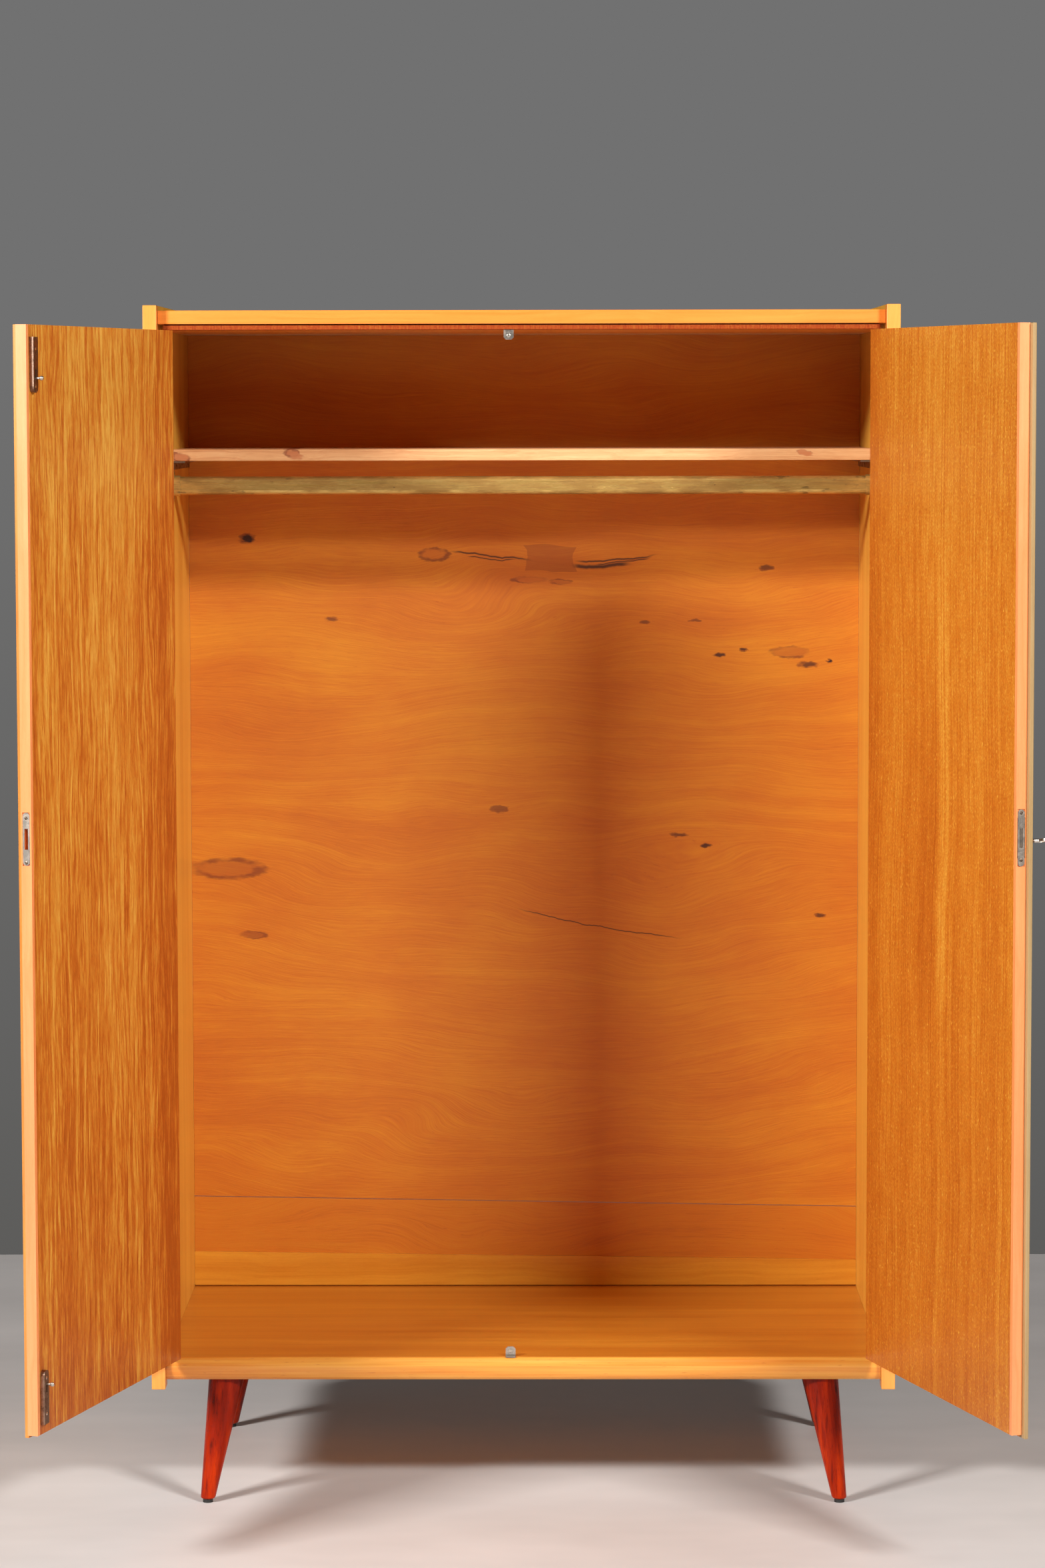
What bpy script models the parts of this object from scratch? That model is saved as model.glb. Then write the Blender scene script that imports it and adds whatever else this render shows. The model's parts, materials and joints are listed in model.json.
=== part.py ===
"""A two-door wardrobe on four splayed legs, modelled as its separate pieces.

Units are metres and +Z is up.  Pieces are drawn in the carcass's own frame: x = 0 is
its middle, y = 0 is the front edge of its sides, z = 0 is the ground.  The doors are
drawn shut and then stand open, turned about their hinge pins.  The carcass is placed so
that the world origin is on the ground, below the middle of the open wardrobe.
"""

import bpy
import bmesh
from math import cos, pi, radians, sin, sqrt
from mathutils import Matrix, Vector

# Carcass
WIDTH = 1.200
HEIGHT = 1.932
DEPTH = 0.618
SIDE_THICKNESS = 0.022
STILE_DEPTH = 0.037
STILE_DROP = 0.013
SOFT_EDGE = 0.0012
FIT = 0.0003

# Top and ceiling
TOP_SETDOWN = 0.008
TOP_THICKNESS = 0.0217
RAIL_SETBACK = 0.020
TOP_RAIL_DEPTH = 0.040
CEILING_THICKNESS = 0.0084
CEILING_STEP = 0.0017
STRIP_SETBACK = 0.002
STRIP_DEPTH = 0.058
STRIP_LIP = 0.015
STRIP_END_GAP = 0.009
CEILING_PANEL_BACK = 0.439

# Floor and bottom rail
UNDERSIDE = 0.2035
FLOOR_LEVEL = 0.2395
FLOOR_THICKNESS = 0.016
NOSE_DEPTH = 0.0095
NOSE_SETBACK = 0.022
NOSE_CENTRE_RISE = 0.017
NOSE_UNDERCUT = 0.0185
NOSE_SQUARENESS = 2.6
BOTTOM_RAIL_BACK = 0.060

# Back
BACK_THICKNESS = 0.006
BACK_INSET = 0.001
SEAM_LEFT = 0.3988
SEAM_RIGHT = 0.3800
SEAM_GAP = 0.0012
BATTEN_LEFT = 0.3010
BATTEN_RIGHT = 0.2860
BATTEN_THICKNESS = 0.004
BATTEN_LIFT = 0.002

# Shelf and clothes rail
HAT_SPACE = 0.1918
SHELF_THICKNESS = 0.019
SHELF_FRONT = 0.274
SHELF_SIDE_GAP = 0.001
SUPPORT_WIDTH = 0.0212
SUPPORT_DROP = 0.014
SUPPORT_THICKNESS = 0.0027
SUPPORT_SETBACK = 0.002
SUPPORT_LENGTH = 0.320
RAIL_Y = 0.290
RAIL_DROP = 0.0258
RAIL_TALL = 0.030
RAIL_THICK = 0.015
RAIL_WALL = 0.0012
SOCKET_DEPTH = 0.012
SOCKET_PLATE = 0.002
SOCKET_WALL = 0.002
SOCKET_EAR = 0.010

# Legs
LEG_TOP_X = 0.482
LEG_FOOT_X = 0.5125
LEG_TOP_INSET = 0.055
LEG_FOOT_INSET = 0.026
LEG_REAR_TOP_INSET = 0.081
LEG_REAR_FOOT_INSET = 0.052
LEG_TOP_RADIUS = 0.0292
LEG_FOOT_RADIUS = 0.0118
FOOT_ROUND = 0.0025
GLIDE_HEIGHT = 0.006
GLIDE_RADIUS = 0.0082
BLOCK_SIZE = 0.092

# Doors
DOOR_TOP_GAP = 0.0016
DOOR_BOTTOM_GAP = 0.0042
DOOR_MEETING_GAP = 0.003
PANEL_THICKNESS = 0.0068
CORE_THICKNESS = 0.0167
EDGE_STRIP = 0.008
LIP_DROP = 0.0053
LEFT_PANEL_RECESS = 0.0065
RIGHT_LIP_OVERHANG = 0.008
MEETING_STRIP = 0.018
LEFT_OPEN = radians(107.2)
RIGHT_OPEN = radians(108.3)

# Piano hinges
BARREL_RADIUS = 0.0032
LEAF_THICKNESS = 0.0012
LEAF_WIDTH = 0.018
PIN_FORWARD = 0.0016
BARREL_CLEARANCE = 0.0003
HINGE_END_GAP = 0.002
KNUCKLES = 9
KNUCKLE_GAP = 0.0005
CURL_TURN = radians(290)

# Sliding bolts on the left door
BOLT_INSET = 0.019
BOLT_END_GAP_TOP = 0.0181
BOLT_END_GAP_BOTTOM = 0.0155
HOUSING_LENGTH = 0.0815
HOUSING_WIDTH = 0.017
HOUSING_HEIGHT = 0.0065
HOUSING_WALL = 0.0012
SLIDE_WIDTH = 0.008
SLIDE_THICKNESS = 0.003
SLIDE_LENGTH = 0.064
SLIDE_SIDE_GAP = 0.0004
BOLT_TRAVEL = 0.0105
KNOB_FROM_END = 0.0602
KNOB_STEM = 0.0015
KNOB_RADIUS = 0.0035
KNOB_HEIGHT = 0.0089
SLOT_CLEARANCE = 0.0005

# Keepers for the bolts
KEEPER_WIDTH = 0.016
KEEPER_HEIGHT = 0.016
KEEPER_THICKNESS = 0.0012
KEEPER_FOOT = 0.0095
KEEPER_CHAMFER = 0.0035

# Lock, strike plate and key
LOCK_HEIGHT = 1.137
LOCK_FROM_INNER_FACE = 0.0083
FACEPLATE_LENGTH = 0.0845
STRIKE_LENGTH = 0.0785
PLATE_WIDTH = 0.011
PLATE_THICKNESS = 0.0015
LOCK_BOLT_HEIGHT = 0.028
LOCK_BOLT_THICKNESS = 0.0044
LOCK_BOLT_LENGTH = 0.013
STRIKE_SLOT_HEIGHT = 0.031
STRIKE_SLOT_WIDTH = 0.0056
CASE_HEIGHT = 0.060
CASE_DEPTH = 0.038
CASE_THICKNESS = 0.012
CASE_WALL = 0.0012
KEY_BACKSET = 0.020
KEY_BELOW_CENTRE = 0.007
KEY_REACH = 0.034
KEY_SHANK = 0.003
KEY_HOLE = 0.0034
BOW_LENGTH = 0.0135
BOW_WIDTH = 0.022
BOW_THICKNESS = 0.0032
BOW_RIM = 0.0036
BOW_TILT = radians(15)
BIT_REACH = 0.0065
BIT_THICKNESS = 0.0025
BIT_LENGTH = 0.005
ESCUTCHEON_WIDTH = 0.014
ESCUTCHEON_HEIGHT = 0.022
ESCUTCHEON_THICKNESS = 0.0012

# Places that follow from the sizes above
INNER = WIDTH / 2 - SIDE_THICKNESS
TOP_LEVEL = HEIGHT - TOP_SETDOWN
TOP_UNDERSIDE = TOP_LEVEL - TOP_THICKNESS
CEILING_TOP = TOP_UNDERSIDE - FIT
CEILING_LEVEL = CEILING_TOP - CEILING_THICKNESS
SHELF_TOP = CEILING_LEVEL - HAT_SPACE
BACK_FACE = DEPTH - BACK_INSET - BACK_THICKNESS
FLOOR_UNDERSIDE = FLOOR_LEVEL - FLOOR_THICKNESS
DOOR_TOP = CEILING_LEVEL - DOOR_TOP_GAP
DOOR_BOTTOM = FLOOR_LEVEL + DOOR_BOTTOM_GAP
HINGE_GAP = 2 * (BARREL_RADIUS + BARREL_CLEARANCE)
HINGE_EDGE = INNER - HINGE_GAP
CLOSING_EDGE = DOOR_MEETING_GAP / 2
CORE_FRONT = PANEL_THICKNESS + FIT
INNER_FACE = CORE_FRONT + CORE_THICKNESS
PIN_X = INNER - HINGE_GAP / 2
PIN_Y = -PIN_FORWARD
LOCK_Y = INNER_FACE - LOCK_FROM_INNER_FACE
KEY_X = CLOSING_EDGE + KEY_BACKSET
KEY_Z = LOCK_HEIGHT - KEY_BELOW_CENTRE


def turned_out(x, y, angle):
    """A point of a shut door, seen from its pin along the door, once the door is open."""
    across = (PIN_X - x) * cos(angle) + (y - PIN_Y) * sin(angle)
    forward = (PIN_X - x) * sin(angle) - (y - PIN_Y) * cos(angle)
    return across - PIN_X, forward - PIN_Y


# How far the open doors reach sideways from the middle, and forward of the sides
LEFT_REACH = -turned_out(CLOSING_EDGE + LEFT_PANEL_RECESS, 0, LEFT_OPEN)[0]
RIGHT_REACH = -turned_out(KEY_X, -KEY_REACH, RIGHT_OPEN)[0]
FRONT_REACH = turned_out(CLOSING_EDGE, INNER_FACE, LEFT_OPEN)[1]
CARCASS_X = (LEFT_REACH - RIGHT_REACH) / 2
CARCASS_Y = (FRONT_REACH - DEPTH) / 2


def clear_scene():
    """Start from an empty file."""
    for item in list(bpy.data.objects):
        bpy.data.objects.remove(item, do_unlink=True)


def material(name, colour, roughness, metallic=0.0):
    """A plain Principled finish."""
    finish = bpy.data.materials.new(name)
    finish.use_nodes = True
    shader = finish.node_tree.nodes["Principled BSDF"]
    shader.inputs["Base Color"].default_value = (*colour, 1.0)
    shader.inputs["Roughness"].default_value = roughness
    shader.inputs["Metallic"].default_value = metallic
    return finish


def empty(name, place, turn=0.0, parent=None):
    """A guide that pieces hang from, and where it is in the carcass's frame."""
    guide = bpy.data.objects.new(name, None)
    bpy.context.collection.objects.link(guide)
    guide.parent = parent
    guide.location = place
    guide.rotation_euler.z = turn
    return guide


def in_space(axis, a, b, along):
    """A point from its place on an outline and its place along the outline's axis."""
    point = [a, b]
    point.insert(axis, along)
    return Vector(point)


def prism(outline, axis, low, high):
    """A mesh: an outline in the two other axes, in their order, drawn out along one axis."""
    form = bmesh.new()
    corners = [form.verts.new(in_space(axis, a, b, low)) for a, b in outline]
    grown = bmesh.ops.extrude_face_region(form, geom=[form.faces.new(corners)])
    moved = [item for item in grown["geom"] if isinstance(item, bmesh.types.BMVert)]
    bmesh.ops.translate(form, verts=moved, vec=in_space(axis, 0, 0, high - low))
    return closed_mesh(form)


def block(x, y, z):
    """A mesh: a box between two values on each axis."""
    corners = [(x[0], y[0]), (x[1], y[0]), (x[1], y[1]), (x[0], y[1])]
    return prism(corners, 2, z[0], z[1])


def turned(stations, axis, sides=24):
    """A mesh: rings square to one axis, each given as its centre and radius."""
    form = bmesh.new()
    rings = []
    for centre, radius in stations:
        angles = [2 * pi * step / sides for step in range(sides)]
        offsets = [in_space(axis, radius * cos(a), radius * sin(a), 0) for a in angles]
        rings.append([form.verts.new(Vector(centre) + offset) for offset in offsets])
    for lower, upper in zip(rings, rings[1:]):
        for step in range(sides):
            after = (step + 1) % sides
            form.faces.new((lower[step], lower[after], upper[after], upper[step]))
    form.faces.new(rings[0])
    form.faces.new(rings[-1])
    return closed_mesh(form)


def closed_mesh(form):
    """Turn the faces outwards and hand the form over as a mesh."""
    bmesh.ops.recalc_face_normals(form, faces=form.faces)
    mesh = bpy.data.meshes.new("piece")
    form.to_mesh(mesh)
    form.free()
    return mesh


def smooth(piece, angle=radians(35)):
    """Shade a round piece smooth, with its hard edges kept."""
    piece.data.shade_smooth()
    piece.data.set_sharp_from_angle(angle=angle)
    return piece


def stadium(width, height, centre=(0, 0), steps=8):
    """An outline with straight sides and half-round ends, taller than it is wide."""
    radius = width / 2
    straight = height / 2 - radius
    points = []
    for end, start in ((straight, 0), (-straight, pi)):
        for step in range(steps + 1):
            angle = start + pi * step / steps
            across = centre[0] + radius * cos(angle)
            points.append((across, centre[1] + end + radius * sin(angle)))
    return points


def ellipse(width, height, centre, steps=20):
    """An oval outline."""
    angles = [2 * pi * step / steps for step in range(steps)]
    return [(centre[0] + width / 2 * cos(a), centre[1] + height / 2 * sin(a)) for a in angles]


class Group:
    """A set of pieces that hang from one empty and move as one."""

    def __init__(self, name, place, turn=0.0, parent=None):
        self.place = Vector(place)
        start = self.place - parent.place if parent else Vector((CARCASS_X, CARCASS_Y, 0))
        self.empty = empty(name, start, turn, parent.empty if parent else None)

    def add(self, name, mesh, finish, origin=None):
        """Make a mesh that is drawn in the carcass's frame a piece of this group."""
        corners = [vertex.co for vertex in mesh.vertices]
        low = Vector([min(corner[i] for corner in corners) for i in range(3)])
        high = Vector([max(corner[i] for corner in corners) for i in range(3)])
        origin = Vector(origin) if origin else (low + high) / 2
        mesh.transform(Matrix.Translation(-origin))
        mesh.name = name
        piece = bpy.data.objects.new(name, mesh)
        bpy.context.collection.objects.link(piece)
        piece.parent = self.empty
        piece.location = origin - self.place
        if finish:
            mesh.materials.append(finish)
        return piece

    def change(self, piece, mesh, operation):
        """Cut a mesh away from a piece, or join it on, with a live Boolean."""
        tool = self.add(f"{piece.name}_tool_{len(piece.modifiers)}", mesh, None)
        tool.hide_render = True
        tool.display_type = "WIRE"
        change = piece.modifiers.new(operation.title(), "BOOLEAN")
        change.operation = operation
        change.object = tool
        return piece

    def cut(self, piece, mesh):
        """Cut a mesh away from a piece."""
        return self.change(piece, mesh, "DIFFERENCE")

    def join(self, piece, mesh):
        """Join a mesh on to a piece."""
        return self.change(piece, mesh, "UNION")


def soften(piece, width=SOFT_EDGE, segments=2):
    """Take the sharpness off a board's edges."""
    bevel = piece.modifiers.new("Soft edges", "BEVEL")
    bevel.width = width
    bevel.segments = segments
    return piece


def across(side, low, high):
    """Two x values on the left (-1) or right (+1) of the middle, in rising order."""
    return tuple(sorted((side * low, side * high)))


def build_sides(carcass, finish):
    """Side panels, each with a stile on its front edge that drops below the bottom."""
    for side, word in ((-1, "left"), (1, "right")):
        span = across(side, INNER, WIDTH / 2)
        panel = block(span, (STILE_DEPTH + FIT, DEPTH), (UNDERSIDE, HEIGHT))
        soften(carcass.add(f"side_panel_{word}", panel, finish["veneer"]))
        stile = block(span, (0, STILE_DEPTH), (UNDERSIDE - STILE_DROP, HEIGHT))
        soften(carcass.add(f"side_stile_{word}", stile, finish["pale_wood"]))


def build_top(carcass, finish):
    """Top panel with its front rail, and the lining boards below it."""
    span = (-INNER + FIT, INNER - FIT)
    height = (TOP_UNDERSIDE, TOP_LEVEL)
    rail_back = RAIL_SETBACK + TOP_RAIL_DEPTH
    rail = block(span, (RAIL_SETBACK, rail_back), height)
    soften(carcass.add("top_front_rail", rail, finish["pale_wood"]))
    panel = block(span, (rail_back + FIT, BACK_FACE - FIT), height)
    carcass.add("top_panel", panel, finish["veneer"])
    front = RAIL_SETBACK + STRIP_SETBACK
    back = front + STRIP_DEPTH
    step = CEILING_TOP - CEILING_STEP
    outline = [(front, CEILING_LEVEL), (back, CEILING_LEVEL), (back, CEILING_TOP)]
    outline += [(front + STRIP_LIP, CEILING_TOP), (front + STRIP_LIP, step), (front, step)]
    strip = prism(outline, 0, -INNER + STRIP_END_GAP, INNER - STRIP_END_GAP)
    carcass.add("ceiling_front_strip", strip, finish["orange_wood"])
    lining = (CEILING_LEVEL, CEILING_TOP)
    middle = block(span, (back + FIT, CEILING_PANEL_BACK), lining)
    carcass.add("ceiling_panel", middle, finish["plywood"])
    rear = block(span, (CEILING_PANEL_BACK + FIT, BACK_FACE - FIT), lining)
    carcass.add("ceiling_rear_board", rear, finish["pine"])


def nose_outline():
    """The bottom rail's section: a rounded nose, and a rebate that the floor lies in."""
    middle = UNDERSIDE + NOSE_CENTRE_RISE
    rise = FLOOR_LEVEL - middle
    power = 2 / NOSE_SQUARENESS
    points = [(NOSE_SETBACK, FLOOR_LEVEL)]
    for step in range(1, 9):
        angle = pi / 2 * step / 8
        forward = NOSE_DEPTH * sin(angle) ** power
        points.append((NOSE_SETBACK - forward, middle + rise * max(0, cos(angle)) ** power))
    lowest = NOSE_CENTRE_RISE / NOSE_UNDERCUT
    for step in range(1, 6):
        depth = lowest * step / 5
        y = NOSE_SETBACK - NOSE_DEPTH * sqrt(1 - depth * depth)
        points.append((y, middle - NOSE_UNDERCUT * depth))
    rebate = FLOOR_UNDERSIDE - FIT
    points += [(BOTTOM_RAIL_BACK, UNDERSIDE), (BOTTOM_RAIL_BACK, rebate)]
    points += [(NOSE_SETBACK, rebate)]
    return points


def build_floor(carcass, finish):
    """Floor panel and the rounded rail in front of it."""
    span = (-INNER + FIT, INNER - FIT)
    rail = prism(nose_outline(), 0, span[0], span[1])
    smooth(carcass.add("bottom_front_rail", rail, finish["pale_wood"]))
    height = (FLOOR_UNDERSIDE, FLOOR_LEVEL)
    panel = block(span, (NOSE_SETBACK + FIT, BACK_FACE - FIT), height)
    carcass.add("floor_panel", panel, finish["veneer"])


def build_back(carcass, finish):
    """Back in two plywood boards that meet in a slanting seam, and a batten inside."""
    left, right = -INNER + FIT, INNER - FIT
    depth = (BACK_FACE, BACK_FACE + BACK_THICKNESS)
    seam = [(left, SEAM_LEFT), (right, SEAM_RIGHT)]
    upper = seam + [(right, TOP_LEVEL), (left, TOP_LEVEL)]
    carcass.add("back_panel_upper", prism(upper, 1, *depth), finish["plywood"])
    lower = [(left, FLOOR_UNDERSIDE), (right, FLOOR_UNDERSIDE)]
    lower += [(x, z - SEAM_GAP) for x, z in reversed(seam)]
    carcass.add("back_panel_lower", prism(lower, 1, *depth), finish["plywood"])
    foot = FLOOR_LEVEL + BATTEN_LIFT
    batten = [(left, foot), (right, foot), (right, BATTEN_RIGHT), (left, BATTEN_LEFT)]
    front = BACK_FACE - FIT - BATTEN_THICKNESS
    carcass.add("back_batten", prism(batten, 1, front, BACK_FACE - FIT), finish["orange_wood"])


def build_shelf(carcass, finish):
    """Pine shelf on two steel angles."""
    span = (-INNER + SHELF_SIDE_GAP, INNER - SHELF_SIDE_GAP)
    bottom = SHELF_TOP - SHELF_THICKNESS
    shelf = block(span, (SHELF_FRONT, BACK_FACE - FIT), (bottom, SHELF_TOP))
    soften(carcass.add("shelf", shelf, finish["pine"]))
    top = bottom - FIT
    ledge = top - SUPPORT_THICKNESS
    front = SHELF_FRONT + SUPPORT_SETBACK
    for side, word in ((-1, "left"), (1, "right")):
        wall = side * (INNER - FIT)
        web = wall - side * SUPPORT_THICKNESS
        tip = wall - side * SUPPORT_WIDTH
        outline = [(wall, top), (tip, top), (tip, ledge), (web, ledge)]
        outline += [(web, top - SUPPORT_DROP), (wall, top - SUPPORT_DROP)]
        angle = prism(outline, 1, front, front + SUPPORT_LENGTH)
        carcass.add(f"shelf_support_{word}", angle, finish["steel"])


def build_clothes_rail(carcass, finish):
    """Oval brass tube in two sockets that are screwed to the sides."""
    middle = (RAIL_Y, SHELF_TOP - SHELF_THICKNESS - RAIL_DROP - RAIL_TALL / 2)
    wall = INNER - FIT
    end = wall - SOCKET_PLATE - FIT
    tube = prism(stadium(RAIL_THICK, RAIL_TALL, middle), 0, -end, end)
    tube = smooth(carcass.add("clothes_rail", tube, finish["brass"]))
    hollow = stadium(RAIL_THICK - 2 * RAIL_WALL, RAIL_TALL - 2 * RAIL_WALL, middle)
    carcass.cut(tube, prism(hollow, 0, -INNER, INNER))
    bore = stadium(RAIL_THICK + 2 * FIT, RAIL_TALL + 2 * FIT, middle)
    collar = stadium(RAIL_THICK + 2 * SOCKET_WALL, RAIL_TALL + 2 * SOCKET_WALL, middle)
    ears = stadium(RAIL_THICK + 2 * SOCKET_WALL, RAIL_TALL + 2 * SOCKET_EAR, middle)
    for side, word in ((-1, "left"), (1, "right")):
        plate = prism(ears, 0, *across(side, wall - SOCKET_PLATE, wall))
        socket = smooth(carcass.add(f"rail_socket_{word}", plate, finish["brass"]))
        mouth = wall - SOCKET_DEPTH
        carcass.join(socket, prism(collar, 0, *across(side, mouth, wall - SOCKET_PLATE / 2)))
        carcass.cut(socket, prism(bore, 0, *across(side, mouth - SOCKET_PLATE, wall - SOCKET_PLATE)))


def leg_stations(side, top_y, foot_y):
    """Rings of a tapered leg, from its foot to its top, with a rounded foot."""
    top = UNDERSIDE - FIT
    foot = GLIDE_HEIGHT + FIT
    stations = []
    for level, narrower in ((foot, 1.0), (foot + FOOT_ROUND * 0.3, 0.4), (foot + FOOT_ROUND, 0.0), (top, 0.0)):
        share = (level - foot) / (top - foot)
        centre = (
            side * (LEG_FOOT_X + (LEG_TOP_X - LEG_FOOT_X) * share),
            foot_y + (top_y - foot_y) * share,
            level,
        )
        radius = LEG_FOOT_RADIUS + (LEG_TOP_RADIUS - LEG_FOOT_RADIUS) * share
        stations.append((centre, radius - FOOT_ROUND * narrower))
    return stations


def build_legs(carcass, finish):
    """Four tapered legs under wooden blocks, each on a black glide."""
    rows = (
        ("front", LEG_TOP_INSET, LEG_FOOT_INSET, BOTTOM_RAIL_BACK + FIT),
        ("rear", DEPTH - LEG_REAR_TOP_INSET, DEPTH - LEG_REAR_FOOT_INSET, None),
    )
    for row, top_y, foot_y, block_front in rows:
        start = block_front or top_y - BLOCK_SIZE / 2
        for side, word in ((-1, "left"), (1, "right")):
            place = f"{row}_{word}"
            span = across(side, LEG_TOP_X - BLOCK_SIZE / 2, LEG_TOP_X + BLOCK_SIZE / 2)
            body = block(span, (start, start + BLOCK_SIZE), (UNDERSIDE, FLOOR_UNDERSIDE - FIT))
            carcass.add(f"leg_block_{place}", body, finish["pine"])
            leg = turned(leg_stations(side, top_y, foot_y), 2)
            smooth(carcass.add(f"leg_{place}", leg, finish["mahogany"]))
            foot = (side * LEG_FOOT_X, foot_y, 0)
            edge = (side * LEG_FOOT_X, foot_y, GLIDE_HEIGHT)
            glide = turned([(foot, GLIDE_RADIUS), (edge, GLIDE_RADIUS)], 2)
            smooth(carcass.add(f"glide_{place}", glide, finish["black_plastic"]))


def keeper(carcass, name, finish, upright, foot, forward):
    """An angle of sheet metal: an upright leg with cut corners, and a foot."""
    x = -CLOSING_EDGE - BOLT_INSET
    left, right = x - KEEPER_WIDTH / 2, x + KEEPER_WIDTH / 2
    root, tip = upright
    cut = KEEPER_CHAMFER if tip > root else -KEEPER_CHAMFER
    outline = [(left, root), (right, root), (right, tip - cut), (right - KEEPER_CHAMFER, tip)]
    outline += [(left + KEEPER_CHAMFER, tip), (left, tip - cut)]
    front = INNER_FACE + 2 * FIT
    plate = carcass.add(name, prism(outline, 1, front, front + KEEPER_THICKNESS), finish)
    reach = (front - KEEPER_FOOT, front + KEEPER_THICKNESS / 2)
    if not forward:
        reach = (front + KEEPER_THICKNESS / 2, front + KEEPER_FOOT)
    return carcass.join(plate, block((left, right), reach, foot))


def build_keepers(carcass, finish):
    """The two angles that the door bolts slide behind."""
    floor = FLOOR_LEVEL + FIT
    ceiling = CEILING_LEVEL - FIT
    steel = finish["nickel"]
    foot = (floor, floor + KEEPER_THICKNESS)
    keeper(carcass, "bottom_keeper", steel, (floor, floor + KEEPER_HEIGHT), foot, True)
    foot = (ceiling - KEEPER_THICKNESS, ceiling)
    keeper(carcass, "top_keeper", steel, (ceiling, ceiling - KEEPER_HEIGHT), foot, False)


def curl_outline(side):
    """A hinge knuckle's section: a leaf that curls round the pin, seen from above."""
    inner = BARREL_RADIUS - LEAF_THICKNESS
    root = BARREL_RADIUS + 2 * FIT
    angles = [pi + CURL_TURN * step / 10 for step in range(11)]
    points = [(-BARREL_RADIUS, root)]
    points += [(BARREL_RADIUS * cos(angle), BARREL_RADIUS * sin(angle)) for angle in angles]
    points += [(inner * cos(angle), inner * sin(angle)) for angle in reversed(angles)]
    points += [(-inner, root)]
    return [(side * x, PIN_Y + y) for x, y in points]


def hinge_leaf(group, name, finish, pin_x, side, first):
    """One leaf of a piano hinge, with every second knuckle; side is where it lies."""
    low, high = DOOR_BOTTOM + HINGE_END_GAP, DOOR_TOP - HINGE_END_GAP
    pitch = (high - low) / KNUCKLES
    plane = sorted((pin_x + side * BARREL_RADIUS, pin_x + side * (BARREL_RADIUS - LEAF_THICKNESS)))
    root = PIN_Y + BARREL_RADIUS + FIT
    plate = block(plane, (root, PIN_Y + LEAF_WIDTH), (low, high))
    leaf = group.add(name, plate, finish)
    outline = [(pin_x + x, y) for x, y in curl_outline(-side)]
    for number in range(first, KNUCKLES, 2):
        start = low + number * pitch
        group.join(leaf, prism(outline, 2, start + KNUCKLE_GAP / 2, start + pitch - KNUCKLE_GAP / 2))
    return leaf


def build_hinge(carcass, door, side, word, finish):
    """Piano hinge: a leaf on the side, a leaf on the door's edge, and the pin."""
    pin_x = side * PIN_X
    steel = finish["nickel"]
    hinge_leaf(carcass, f"hinge_side_leaf_{word}", steel, pin_x, side, 0)
    hinge_leaf(door, f"hinge_door_leaf_{word}", steel, pin_x, -side, 1)
    radius = BARREL_RADIUS - LEAF_THICKNESS - FIT
    ends = (DOOR_BOTTOM + HINGE_END_GAP, DOOR_TOP - HINGE_END_GAP)
    stations = [((pin_x, PIN_Y, z), radius) for z in ends]
    smooth(carcass.add(f"hinge_pin_{word}", turned(stations, 2, 12), finish["steel"]))


def lock_pocket(length, depth, side):
    """The space for a plate let into a door's closing edge, with room to fit it."""
    y = (LOCK_Y - PLATE_WIDTH / 2 - FIT, LOCK_Y + PLATE_WIDTH / 2 + FIT)
    z = (LOCK_HEIGHT - length / 2 - FIT, LOCK_HEIGHT + length / 2 + FIT)
    return block(across(side, CLOSING_EDGE - FIT, CLOSING_EDGE + depth), y, z)


def slot_block(x, width, height):
    """A block that runs in x through the middle of the lock."""
    y = (LOCK_Y - width / 2, LOCK_Y + width / 2)
    return block(x, y, (LOCK_HEIGHT - height / 2, LOCK_HEIGHT + height / 2))


def build_left_door(door, finish):
    """Left door: core, edge strip and front panel, with the lock's strike plate."""
    height = (DOOR_BOTTOM, DOOR_TOP)
    depth = (CORE_FRONT, INNER_FACE)
    strip_back = CLOSING_EDGE + EDGE_STRIP
    core = block((-HINGE_EDGE, -strip_back - FIT), depth, height)
    door.add("left_door_core", core, finish["veneer"])
    strip = block((-strip_back, -CLOSING_EDGE), depth, height)
    strip = door.add("left_door_edge_strip", strip, finish["pale_wood"])
    door.cut(strip, lock_pocket(STRIKE_LENGTH, PLATE_THICKNESS + FIT, -1))
    room = 2 * FIT
    pocket = (-strip_back - FIT, -CLOSING_EDGE)
    door.cut(strip, slot_block(pocket, STRIKE_SLOT_WIDTH + room, STRIKE_SLOT_HEIGHT + room))
    panel_edge = -CLOSING_EDGE - LEFT_PANEL_RECESS
    panel = block((-HINGE_EDGE, panel_edge), (0, PANEL_THICKNESS), (DOOR_BOTTOM - LIP_DROP, DOOR_TOP))
    soften(door.add("left_door_front_panel", panel, finish["veneer"]), 0.0006)
    outline = stadium(PLATE_WIDTH, STRIKE_LENGTH, (LOCK_Y, LOCK_HEIGHT))
    plate = prism(outline, 0, -CLOSING_EDGE - PLATE_THICKNESS, -CLOSING_EDGE)
    plate = door.add("strike_plate", plate, finish["nickel"])
    through = (-CLOSING_EDGE - 2 * PLATE_THICKNESS, CLOSING_EDGE)
    door.cut(plate, slot_block(through, STRIKE_SLOT_WIDTH, STRIKE_SLOT_HEIGHT))


def housing_outline(exit_z, away):
    """A bolt housing seen from inside: square where the bolt comes out, round at its tail."""
    x = -CLOSING_EDGE - BOLT_INSET
    radius = HOUSING_WIDTH / 2
    centre = exit_z + away * (HOUSING_LENGTH - radius)
    points = [(x - radius, exit_z), (x + radius, exit_z)]
    for step in range(13):
        angle = pi * step / 12
        points.append((x + radius * cos(angle), centre + away * radius * sin(angle)))
    return points


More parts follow.
